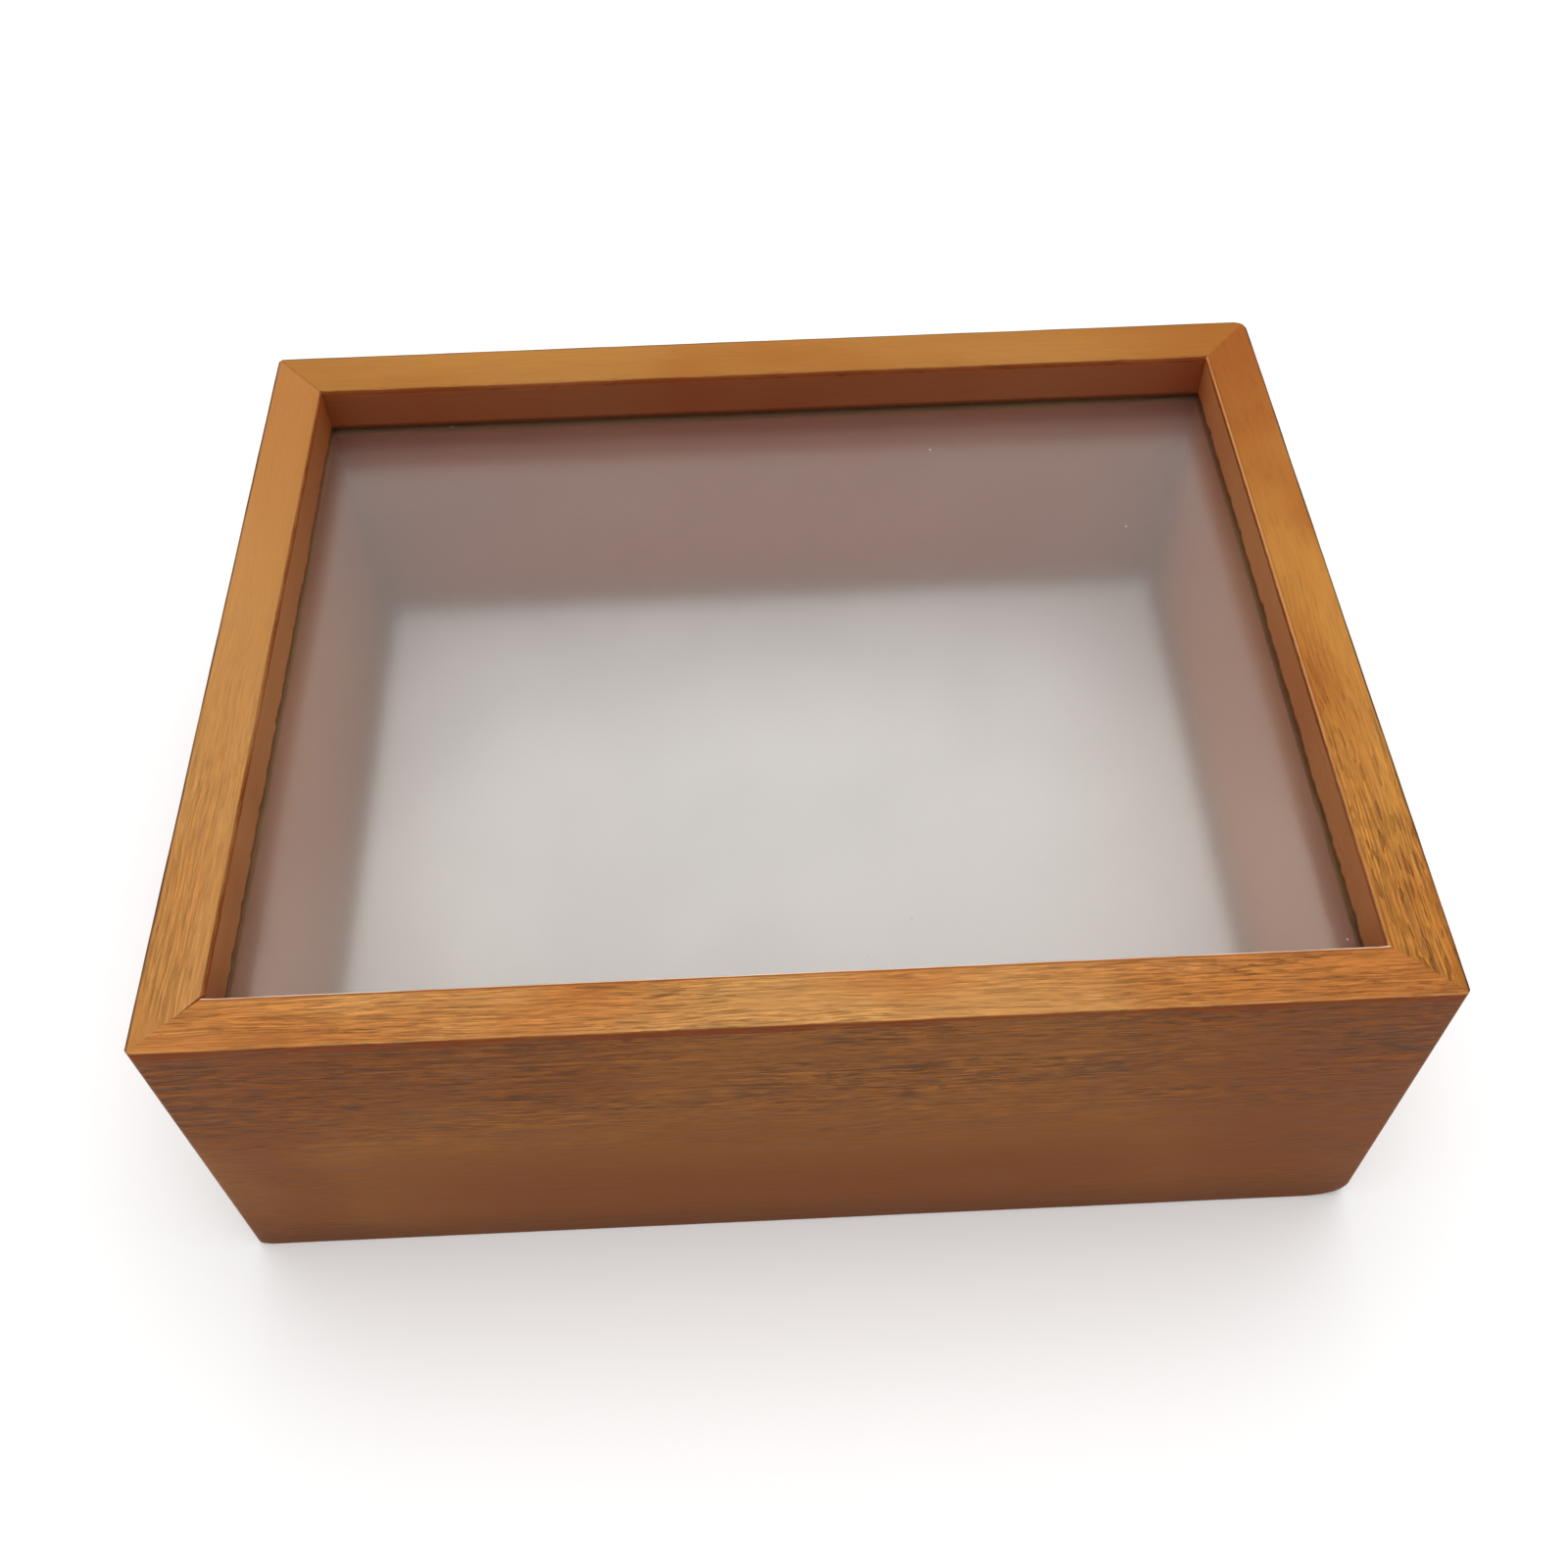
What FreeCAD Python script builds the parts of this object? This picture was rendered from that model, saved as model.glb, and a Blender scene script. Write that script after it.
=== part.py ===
"""Butterfly display case: a mitred wooden box with a clear panel in a groove under its rim,
and a pinning bed on a back board that the glazed frame lifts off.

Millimetres. +X runs along the long walls, +Y from the front wall to the rear wall and +Z up out
of the rim. The origin is the centre of the base, where the four walls stand.
"""
import FreeCAD, Part
import os
import re

import Sketcher

SIZES = {
    # frame
    "case_length": 200.0,
    "case_depth": 160.0,
    "case_height": 74.0,
    "wall_thickness": 9.8,
    "rim_fall": 1.2,
    "corner_radius": 1.5,
    "edge_ease": 0.4,
    # clear panel, its two protective films and the groove they sit in
    "rim_depth": 10.7,
    "panel_thickness": 2.0,
    "film_thickness": 0.1,
    "groove_slack": 1.0,
    "panel_bite": 3.5,
    "panel_clearance": 0.5,
    # back board, rabbet and pinning foam
    "rabbet_width": 3.5,
    "board_thickness": 3.0,
    "board_clearance": 0.4,
    "foam_thickness": 3.0,
    "foam_margin": 3.0,
    "ground_clearance": 0.68,
    # steel nails across the mitres
    "nail_inset": 2.0,
    "nail_gauge": 0.5,
    "nail_leg": 4.5,
    "nail_depth": 10.0,
    "nail_set": 0.3,
    # turn buttons and the kerf they lock into
    "button_end_inset": 33.3,
    "button_inset": 12.0,
    "button_thickness": 1.0,
    "button_tail_radius": 3.5,
    "button_nose_radius": 2.5,
    "button_engagement": 2.0,
    "button_gap": 0.1,
    "button_ease": 0.2,
    "kerf_clearance": 0.4,
    # rivets
    "rivet_radius": 1.5,
    "rivet_head_radius": 3.0,
    "rivet_head_rim": 0.25,
    "rivet_dome": 0.5,
    "rivet_flare": 0.8,
    "rivet_fit": 0.05,
    # wall hanger
    "hanger_inset": 14.0,
    "strap_width": 9.0,
    "strap_thickness": 0.8,
    "strap_end": 4.5,
    "strap_rivet_offset": 7.0,
    "strap_rivet_pitch": 7.5,
    "ring_wire_radius": 0.8,
    "ring_fit": 0.06,
    "ring_end_gap": 0.2,
    "ring_corner": 1.8,
    "ring_side": 1.5,
}

SHEET_WORDS = {name: "Sizes." + name for name in SIZES}


def combine(text):
    """Turn names such as case_length into references to the sheet's cells."""
    return re.sub("[a-z_]+", lambda word: SHEET_WORDS.get(word.group(), word.group()), text)


# Places that several pieces share, all worked out from the sheet.
HALF_LENGTH = "(case_length / 2)"
HALF_DEPTH = "(case_depth / 2)"
GLAZING = "(panel_thickness + 2 * film_thickness)"
GROOVE_TOP = "(case_height - rim_depth)"
GROOVE_FLOOR = f"({GROOVE_TOP} - groove_slack - {GLAZING})"
GROOVE_DEPTH = "(panel_bite + panel_clearance)"
EYE_BORE = "(ring_wire_radius + ring_fit)"
EYE_RADIUS = f"({EYE_BORE} + strap_thickness)"
BOARD_UNDERSIDE = f"(2 * {EYE_RADIUS} + ground_clearance)"
BOARD_TOP = f"({BOARD_UNDERSIDE} + board_thickness)"
BOARD_EDGE = "(wall_thickness - rabbet_width + board_clearance)"
BOARD_HALF_LENGTH = f"({HALF_LENGTH} - {BOARD_EDGE})"
BOARD_HALF_DEPTH = f"({HALF_DEPTH} - {BOARD_EDGE})"
BUTTON_TOP = f"({BOARD_UNDERSIDE} - button_gap)"
BUTTON_UNDERSIDE = f"({BUTTON_TOP} - button_thickness)"
BUTTON_REACH = "(button_inset + board_clearance + button_engagement)"
BUTTON_PIVOT_X = f"({BOARD_HALF_LENGTH} - button_end_inset)"
BUTTON_PIVOT_Y = f"({BOARD_HALF_DEPTH} - button_inset)"
KERF_FLOOR = f"({BUTTON_UNDERSIDE} - kerf_clearance)"
KERF_TOP = f"({BUTTON_TOP} + kerf_clearance)"
KERF_DEPTH = "(button_engagement + kerf_clearance)"
HOLE_RADIUS = "(rivet_radius + rivet_fit)"
HANGER_Y = f"({BOARD_HALF_DEPTH} - hanger_inset)"
HANGER_Z = f"({BOARD_UNDERSIDE} - {EYE_RADIUS})"
STRAP_LENGTH = "(strap_rivet_offset + strap_rivet_pitch + strap_end)"
RING_HALF_WIDTH = "(strap_width / 2 + ring_end_gap + ring_corner)"

STRAIGHT = None
CUT_ALLOWANCE = "5"


def make_sheet(doc):
    """Write the driving sizes into the spreadsheet, one alias each."""
    sheet = doc.addObject("Spreadsheet::Sheet", "Sizes")
    for row, (name, size) in enumerate(SIZES.items(), start=1):
        sheet.set(f"A{row}", name)
        sheet.set(f"B{row}", str(size))
        sheet.setAlias(f"B{row}", name)
    doc.recompute()
    return sheet


def value(owner, text):
    """The number that a combination of sizes comes to."""
    return float(owner.evalExpression(combine(text)))


def make_body(doc, label):
    """An empty body with its own label."""
    body = doc.addObject("PartDesign::Body", label)
    body.Label = label
    return body


def place(piece, across, along, up, turn=0.0):
    """Bind a piece's position to the sheet and turn it about the vertical."""
    piece.Placement = FreeCAD.Placement(
        FreeCAD.Vector(0, 0, 0), FreeCAD.Rotation(FreeCAD.Vector(0, 0, 1), turn)
    )
    piece.setExpression("Placement.Base.x", combine(across))
    piece.setExpression("Placement.Base.y", combine(along))
    piece.setExpression("Placement.Base.z", combine(up))


def make_sketch(body, name, role):
    """A sketch on one of the body's own origin planes."""
    sketch = body.newObject("Sketcher::SketchObject", name)
    plane = next(item for item in body.Origin.OriginFeatures if item.Role == role)
    sketch.AttachmentSupport = [(plane, "")]
    sketch.MapMode = "FlatFace"
    return sketch


def bind(sketch, constraint, text):
    """Add a constraint whose value follows the sheet."""
    index = sketch.addConstraint(constraint)
    sketch.setExpression(f"Constraints[{index}]", combine(text))


def pin(sketch, edge, end, point):
    """Hold one end of an edge at a place given by two combinations of sizes."""
    for kind, text in zip(("DistanceX", "DistanceY"), point):
        bind(sketch, Sketcher.Constraint(kind, -1, 1, edge, end, value(sketch, text)), text)


def arc_between(start, end, radius, clockwise):
    """The arc of less than half a turn from start to end."""
    chord = end - start
    middle = (start + end) * 0.5
    rise = max(radius**2 - (chord.Length / 2) ** 2, 0.0) ** 0.5
    across = FreeCAD.Vector(-chord.y, chord.x, 0).normalize()
    side = -1 if clockwise else 1
    centre = middle + across * rise * side
    crown = centre - across * radius * side
    return Part.Arc(start, crown, end)


def draw_outline(sketch, corners, arcs=None):
    """Draw a closed outline, fully bound to the sheet.

    corners is a list of (x, y) combinations. arcs gives, for the number of a corner, the radius
    of the arc that leaves it and whether the arc runs clockwise. Every other edge is straight.
    """
    arcs = arcs or {}
    points = [FreeCAD.Vector(value(sketch, x), value(sketch, y), 0) for x, y in corners]
    first = sketch.GeometryCount
    count = len(corners)
    for number, start in enumerate(points):
        end = points[(number + 1) % count]
        radius, clockwise = arcs.get(number, (STRAIGHT, False))
        if radius is STRAIGHT:
            sketch.addGeometry(Part.LineSegment(start, end), False)
        else:
            sketch.addGeometry(arc_between(start, end, value(sketch, radius), clockwise), False)
    for number, corner in enumerate(corners):
        edge = first + number
        before = first + (number - 1) % count
        radius, clockwise = arcs.get(number, (STRAIGHT, False))
        _, clockwise_before = arcs.get((number - 1) % count, (STRAIGHT, False))
        start_end = 2 if clockwise else 1
        end_before = 1 if clockwise_before else 2
        sketch.addConstraint(Sketcher.Constraint("Coincident", before, end_before, edge, start_end))
        pin(sketch, edge, start_end, corner)
        if radius is not STRAIGHT:
            bind(sketch, Sketcher.Constraint("Radius", edge, value(sketch, radius)), radius)


def draw_box(sketch, low, high):
    """Draw a rectangle from its low corner to its high corner."""
    draw_outline(sketch, [low, (high[0], low[1]), high, (low[0], high[1])])


def draw_circle(sketch, centre, radius):
    """Draw a circle with its centre and radius bound to the sheet."""
    point = FreeCAD.Vector(value(sketch, centre[0]), value(sketch, centre[1]), 0)
    circle = Part.Circle(point, FreeCAD.Vector(0, 0, 1), value(sketch, radius))
    edge = sketch.addGeometry(circle, False)
    pin(sketch, edge, 3, centre)
    bind(sketch, Sketcher.Constraint("Radius", edge, value(sketch, radius)), radius)


def add_pad(body, sketch, name, length, midplane=False):
    """Raise a sketch into a solid, upwards or to both sides of its plane."""
    pad = body.newObject("PartDesign::Pad", name)
    pad.Profile = sketch
    pad.Midplane = midplane
    pad.setExpression("Length", combine(length))
    return pad


def add_through_cut(body, sketch, name):
    """Cut a sketch right through the body, to both sides of its plane."""
    cut = body.newObject("PartDesign::Pocket", name)
    cut.Profile = sketch
    cut.Type = "ThroughAll"
    cut.Midplane = True
    return cut


def add_blind_cut(body, sketch, name, depth):
    """Cut a sketch upwards from its plane to a stated depth."""
    cut = body.newObject("PartDesign::Pocket", name)
    cut.Profile = sketch
    cut.Reversed = True
    cut.setExpression("Length", combine(depth))
    return cut


def add_edge_work(body, kind, name, base, edges, size):
    """Round (Fillet) or bevel (Chamfer) the numbered edges of a feature."""
    work = body.newObject("PartDesign::" + kind, name)
    work.Base = (base, [f"Edge{number}" for number in edges])
    work.setExpression("Radius" if kind == "Fillet" else "Size", combine(size))
    return work


def edges_between(shape, low, high, wanted):
    """Numbers of the edges that lie wholly between two heights and that wanted accepts."""
    numbers = []
    for number, edge in enumerate(shape.Edges, start=1):
        box = edge.BoundBox
        if box.ZMin > low - 1e-4 and box.ZMax < high + 1e-4 and wanted(edge):
            numbers.append(number)
    return numbers


def is_round(edge):
    """Whether an edge is part of a circle or an ellipse."""
    return edge.Curve.TypeId in ("Part::GeomCircle", "Part::GeomEllipse")


def runs_along_x(edge):
    """Whether an edge is straight and runs along X."""
    return edge.BoundBox.YLength < 1e-6 and edge.BoundBox.XLength > 1e-6


def make_wall(doc, label, half_run, half_span, turn):
    """One side board, drawn as the front wall and turned into its place.

    half_run is half the wall's length and half_span how far its outer face stands from the
    centre. The board's section has the panel groove, the rabbet for the back board and the kerf
    for the turn buttons, and its rim falls a little towards the panel. Its ends are mitred, and
    the two mitres share the corner's round.
    """
    body = make_body(doc, label)
    outer = f"(0 - {half_span})"
    inner = f"(wall_thickness - {half_span})"
    groove_back = f"({inner} - {GROOVE_DEPTH})"
    rabbet_side = f"({inner} - rabbet_width)"
    kerf_back = f"({rabbet_side} - {KERF_DEPTH})"
    section = make_sketch(body, "section", "YZ_Plane")
    draw_outline(
        section,
        [
            (outer, "0"),
            (rabbet_side, "0"),
            (rabbet_side, KERF_FLOOR),
            (kerf_back, KERF_FLOOR),
            (kerf_back, KERF_TOP),
            (rabbet_side, KERF_TOP),
            (rabbet_side, BOARD_TOP),
            (inner, BOARD_TOP),
            (inner, GROOVE_FLOOR),
            (groove_back, GROOVE_FLOOR),
            (groove_back, GROOVE_TOP),
            (inner, GROOVE_TOP),
            (inner, "case_height - rim_fall"),
            (outer, "case_height"),
        ],
    )
    add_pad(body, section, "board", f"2 * {half_run}", midplane=True)

    ends = make_sketch(body, "mitre_outline", "XY_Plane")
    for side in ("1", "-1"):
        tangent = f"{side} * ({half_run} - corner_radius)"
        bisector = f"{side} * ({half_run} - corner_radius * (1 - sqrt(0.5)))"
        past_inner = f"{side} * ({half_run} - wall_thickness - {CUT_ALLOWANCE})"
        past_end = f"{side} * ({half_run} + {CUT_ALLOWANCE})"
        draw_outline(
            ends,
            [
                (tangent, outer),
                (bisector, f"{outer} + corner_radius * (1 - sqrt(0.5))"),
                (past_inner, f"{inner} + {CUT_ALLOWANCE}"),
                (past_end, f"{inner} + {CUT_ALLOWANCE}"),
                (past_end, f"{outer} - {CUT_ALLOWANCE}"),
                (tangent, f"{outer} - {CUT_ALLOWANCE}"),
            ],
            arcs={0: ("corner_radius", side == "-1")},
        )
    mitres = add_through_cut(body, ends, "mitres")
    doc.recompute()

    crest = value(body, "case_height")
    face = value(body, outer)
    rim = edges_between(
        mitres.Shape,
        crest - value(body, "rim_fall"),
        crest,
        lambda edge: is_round(edge) or runs_along_x(edge),
    )
    foot = edges_between(
        mitres.Shape,
        0.0,
        0.0,
        lambda edge: is_round(edge) or (runs_along_x(edge) and abs(edge.BoundBox.YMin - face) < 1e-4),
    )
    add_edge_work(body, "Fillet", "eased_edges", mitres, rim + foot, "edge_ease")

    slots = make_sketch(body, "nail_slots_outline", "XY_Plane")
    for side in ("1", "-1"):
        corner = f"{side} * ({half_run} - nail_inset + nail_gauge / 2)"
        end = f"{side} * ({half_run} - nail_inset - nail_leg)"
        low, high = (end, corner) if side == "1" else (corner, end)
        draw_box(
            slots,
            (low, f"{outer} + nail_inset - nail_gauge / 2"),
            (high, f"{outer} + nail_inset + nail_gauge / 2"),
        )
    add_blind_cut(body, slots, "nail_slots", "nail_set + nail_depth")
    place(body, "0", "0", "0", turn)
    return body


def make_sheet_piece(doc, label, half_length, half_depth, floor, thickness):
    """A plain rectangular sheet, centred on the case."""
    box = doc.addObject("Part::Box", label)
    box.Label = label
    box.setExpression("Length", combine(f"2 * {half_length}"))
    box.setExpression("Width", combine(f"2 * {half_depth}"))
    box.setExpression("Height", combine(thickness))
    place(box, f"0 - {half_length}", f"0 - {half_depth}", floor)
    return box


def make_glazing(doc):
    """The clear panel with a film on each face, standing on the groove's floor."""
    half_length = f"({HALF_LENGTH} - wall_thickness + panel_bite)"
    half_depth = f"({HALF_DEPTH} - wall_thickness + panel_bite)"
    panel_floor = f"{GROOVE_FLOOR} + film_thickness"
    film_floor = f"{panel_floor} + panel_thickness"
    return [
        make_sheet_piece(doc, "inner_film", half_length, half_depth, GROOVE_FLOOR, "film_thickness"),
        make_sheet_piece(doc, "clear_panel", half_length, half_depth, panel_floor, "panel_thickness"),
        make_sheet_piece(doc, "outer_film", half_length, half_depth, film_floor, "film_thickness"),
    ]


def make_mitre_nail(doc, label, across, along, turn):
    """A V-shaped nail driven up from the base, with one leg in each wall of a corner."""
    body = make_body(doc, label)
    outline = make_sketch(body, "outline", "XY_Plane")
    thin = "nail_gauge / 2"
    draw_outline(
        outline,
        [
            ("0 - nail_leg", f"0 - {thin}"),
            (thin, f"0 - {thin}"),
            (thin, "nail_leg"),
            (f"0 - {thin}", "nail_leg"),
            (f"0 - {thin}", thin),
            ("0 - nail_leg", thin),
        ],
    )
    add_pad(body, outline, "blade", "nail_depth")
    place(body, across, along, "nail_set", turn)
    return body


def make_mitre_nails(doc):
    """The four nails, one to a corner."""
    right = f"{HALF_LENGTH} - nail_inset"
    rear = f"{HALF_DEPTH} - nail_inset"
    left = f"nail_inset - {HALF_LENGTH}"
    front = f"nail_inset - {HALF_DEPTH}"
    return [
        make_mitre_nail(doc, "mitre_nail_front_right", right, front, 0),
        make_mitre_nail(doc, "mitre_nail_rear_right", right, rear, 90),
        make_mitre_nail(doc, "mitre_nail_rear_left", left, rear, 180),
        make_mitre_nail(doc, "mitre_nail_front_left", left, front, 270),
    ]


def strap_rivet_places():
    """Where the strap's two rivets stand along Y, the one nearest the eye first."""
    near = f"({HANGER_Y} - strap_rivet_offset)"
    far = f"({near} - strap_rivet_pitch)"
    return near, far


def button_corners():
    """The four turn buttons' names with the signs of their X and Y."""
    return (
        ("front_left", -1, -1),
        ("front_right", 1, -1),
        ("rear_left", -1, 1),
        ("rear_right", 1, 1),
    )


def make_back_board(doc):
    """The board that carries the bed, with countersunk holes for all six rivets."""
    body = make_body(doc, "back_board")
    outline = make_sketch(body, "outline", "XY_Plane")
    draw_box(
        outline,
        (f"0 - {BOARD_HALF_LENGTH}", f"0 - {BOARD_HALF_DEPTH}"),
        (BOARD_HALF_LENGTH, BOARD_HALF_DEPTH),
    )
    add_pad(body, outline, "board", "board_thickness")
    holes = make_sketch(body, "hole_circles", "XY_Plane")
    for _, side, end in button_corners():
        draw_circle(holes, (f"{side} * {BUTTON_PIVOT_X}", f"{end} * {BUTTON_PIVOT_Y}"), HOLE_RADIUS)
    for along in strap_rivet_places():
        draw_circle(holes, ("0", along), HOLE_RADIUS)
    drilled = add_through_cut(body, holes, "rivet_holes")
    doc.recompute()
    face = value(body, "board_thickness")
    mouths = edges_between(drilled.Shape, face, face, is_round)
    add_edge_work(body, "Chamfer", "countersinks", drilled, mouths, "rivet_flare")
    place(body, "0", "0", BOARD_UNDERSIDE)
    return body


def make_foam_bed(doc):
    """The white pinning bed, glued on the board inside the walls."""
    half_length = f"({HALF_LENGTH} - wall_thickness - foam_margin)"
    half_depth = f"({HALF_DEPTH} - wall_thickness - foam_margin)"
    return make_sheet_piece(doc, "foam_bed", half_length, half_depth, BOARD_TOP, "foam_thickness")


def make_rivet(doc, label, across, along, held_underside):
    """A domed rivet whose head bears under a held piece and whose tail is flared in the board."""
    body = make_body(doc, label)
    head = "(rivet_dome + rivet_head_rim)"
    top = f"({head} + rivet_fit + {BOARD_TOP} - {held_underside})"
    profile = make_sketch(body, "half_profile", "XZ_Plane")
    draw_outline(
        profile,
        [
            ("0", "0"),
            ("rivet_head_radius", "rivet_dome"),
            ("rivet_head_radius", head),
            ("rivet_radius", head),
            ("rivet_radius", f"{top} - rivet_flare"),
            ("rivet_radius + rivet_flare", top),
            ("0", top),
        ],
        arcs={0: ("(rivet_head_radius ^ 2 + rivet_dome ^ 2) / (2 * rivet_dome)", False)},
    )
    turned = body.newObject("PartDesign::Revolution", "turned")
    turned.Profile = profile
    turned.ReferenceAxis = (profile, ["V_Axis"])
    turned.Angle = 360.0
    place(body, across, along, f"{held_underside} - rivet_fit - {head}")
    return body


def make_turn_button(doc, label, across, along, turn):
    """A flat steel button, round at its rivet and tapering to a round nose."""
    body = make_body(doc, label)
    tail = "button_tail_radius"
    nose = "button_nose_radius"
    nose_at = f"({BUTTON_REACH} - {nose})"
    lean = f"(({tail} - {nose}) / {nose_at})"
    rise = f"sqrt(1 - {lean} ^ 2)"
    outline = make_sketch(body, "outline", "XY_Plane")
    draw_outline(
        outline,
        [
            (f"0 - {tail}", "0"),
            (f"{tail} * {lean}", f"0 - {tail} * {rise}"),
            (f"{nose_at} + {nose} * {lean}", f"0 - {nose} * {rise}"),
            (BUTTON_REACH, "0"),
            (f"{nose_at} + {nose} * {lean}", f"{nose} * {rise}"),
            (f"{tail} * {lean}", f"{tail} * {rise}"),
        ],
        arcs={0: (tail, False), 2: (nose, False), 3: (nose, False), 5: (tail, False)},
    )
    plate = add_pad(body, outline, "plate", "button_thickness")
    doc.recompute()
    rims = edges_between(plate.Shape, 0.0, 0.0, lambda edge: True)
    add_edge_work(body, "Chamfer", "eased_rim", plate, rims, "button_ease")
    hole = make_sketch(body, "hole_circle", "XY_Plane")
    draw_circle(hole, ("0", "0"), HOLE_RADIUS)
    add_through_cut(body, hole, "hole")
    place(body, across, along, BUTTON_UNDERSIDE, turn)
    return body


def make_buttons(doc):
    """Four turn buttons and their rivets, two of each along both long edges."""
    pieces = []
    for corner, side, end in button_corners():
        across = f"{side} * {BUTTON_PIVOT_X}"
        along = f"{end} * {BUTTON_PIVOT_Y}"
        turn = 0 if side < 0 else 180
        pieces.append(make_turn_button(doc, "turn_button_" + corner, across, along, turn))
        pieces.append(make_rivet(doc, "button_rivet_" + corner, across, along, BUTTON_UNDERSIDE))
    return pieces


def make_hanger_strap(doc):
    """A strip of steel rolled at one end into an eye for the ring, with two rivet holes."""
    body = make_body(doc, "hanger_strap")
    profile = make_sketch(body, "side_profile", "YZ_Plane")
    meeting = f"(0 - sqrt({EYE_RADIUS} ^ 2 - {EYE_BORE} ^ 2))"
    draw_outline(
        profile,
        [
            (f"0 - {STRAP_LENGTH}", EYE_BORE),
            (meeting, EYE_BORE),
            (f"0 - {EYE_RADIUS}", "0"),
            ("0", f"0 - {EYE_RADIUS}"),
            (EYE_RADIUS, "0"),
            ("0", EYE_RADIUS),
            (f"0 - {STRAP_LENGTH}", EYE_RADIUS),
        ],
        arcs={
            1: (EYE_RADIUS, False),
            2: (EYE_RADIUS, False),
            3: (EYE_RADIUS, False),
            4: (EYE_RADIUS, False),
        },
    )
    draw_circle(profile, ("0", "0"), EYE_BORE)
    add_pad(body, profile, "strip", "strap_width", midplane=True)
    holes = make_sketch(body, "hole_circles", "XY_Plane")
    draw_circle(holes, ("0", "0 - strap_rivet_offset"), HOLE_RADIUS)
    draw_circle(holes, ("0", "0 - strap_rivet_offset - strap_rivet_pitch"), HOLE_RADIUS)
    drilled = add_through_cut(body, holes, "rivet_holes")
    doc.recompute()
    far_end = value(body, f"0 - {STRAP_LENGTH}")
    corners = [
        number
        for number, edge in enumerate(drilled.Shape.Edges, start=1)
        if edge.BoundBox.ZLength > 1e-3 and abs(edge.BoundBox.YMax - far_end) < 1e-4
    ]
    add_edge_work(body, "Fillet", "round_end", drilled, corners, "strap_width / 3")
    place(body, "0", HANGER_Y, HANGER_Z)
    return body


def make_hanger_ring(doc):
    """A D-shaped wire ring whose straight side turns in the strap's eye."""
    body = make_body(doc, "hanger_ring")
    path = make_sketch(body, "wire_path", "XY_Plane")
    wide = RING_HALF_WIDTH
    shoulder = "(ring_corner + ring_side)"
    crown = f"({shoulder} + {wide})"
    draw_outline(
        path,
        [
            ("0", "0"),
            (f"{wide} - ring_corner", "0"),
            (wide, "ring_corner"),
            (wide, shoulder),
            ("0", crown),
            (f"0 - {wide}", shoulder),
            (f"0 - {wide}", "ring_corner"),
            (f"ring_corner - {wide}", "0"),
        ],
        arcs={
            1: ("ring_corner", False),
            3: (wide, False),
            4: (wide, False),
            6: ("ring_corner", False),
        },
    )
    wire = make_sketch(body, "wire_circle", "YZ_Plane")
    draw_circle(wire, ("0", "0"), "ring_wire_radius")
    bent = body.newObject("PartDesign::AdditivePipe", "bent_wire")
    bent.Profile = wire
    bent.Spine = (path, [])
    place(body, "0", HANGER_Y, HANGER_Z)
    return body


def make_hanger(doc):
    """The strap, its ring and the two rivets that hold the strap to the board."""
    strap_underside = f"({BOARD_UNDERSIDE} - strap_thickness)"
    near, far = strap_rivet_places()
    return [
        make_hanger_strap(doc),
        make_hanger_ring(doc),
        make_rivet(doc, "hanger_rivet_rear", "0", near, strap_underside),
        make_rivet(doc, "hanger_rivet_front", "0", far, strap_underside),
    ]


def make_walls(doc):
    """The four walls, all cut from one moulding."""
    return [
        make_wall(doc, "front_wall", HALF_LENGTH, HALF_DEPTH, 0),
        make_wall(doc, "right_wall", HALF_DEPTH, HALF_LENGTH, 90),
        make_wall(doc, "rear_wall", HALF_LENGTH, HALF_DEPTH, 180),
        make_wall(doc, "left_wall", HALF_DEPTH, HALF_LENGTH, 270),
    ]


def check_document(doc, pieces):
    """Stop if any object failed or any piece isn't one sound solid."""
    for item in doc.Objects:
        if "Invalid" in item.State or "Error" in item.State:
            raise RuntimeError(f"{item.Label} failed: {item.State}")
    for piece in pieces:
        shape = piece.Shape
        if shape.isNull() or not shape.isValid() or len(shape.Solids) != 1:
            raise RuntimeError(f"{piece.Label} isn't one sound solid")


def write_steps(pieces):
    """Write each piece to its own STEP file, named by its label."""
    os.makedirs("parts", exist_ok=True)
    for piece in pieces:
        piece.Shape.exportStep(f"parts/{piece.Label}.step")


def build():
    """Make the whole case and write its pieces."""
    doc = FreeCAD.newDocument("display_case")
    make_sheet(doc)
    pieces = make_walls(doc) + make_glazing(doc) + make_mitre_nails(doc)
    pieces += [make_back_board(doc), make_foam_bed(doc)]
    pieces += make_buttons(doc) + make_hanger(doc)
    doc.recompute()
    check_document(doc, pieces)
    write_steps(pieces)
    print(f"{len(pieces)} pieces written")


build()
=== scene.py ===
"""The looks of the butterfly display case: a varnished wooden box with a film-covered clear panel."""
import logging
import math
from dataclasses import astuple, dataclass
from enum import Enum
from typing import Callable, Iterable

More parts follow.
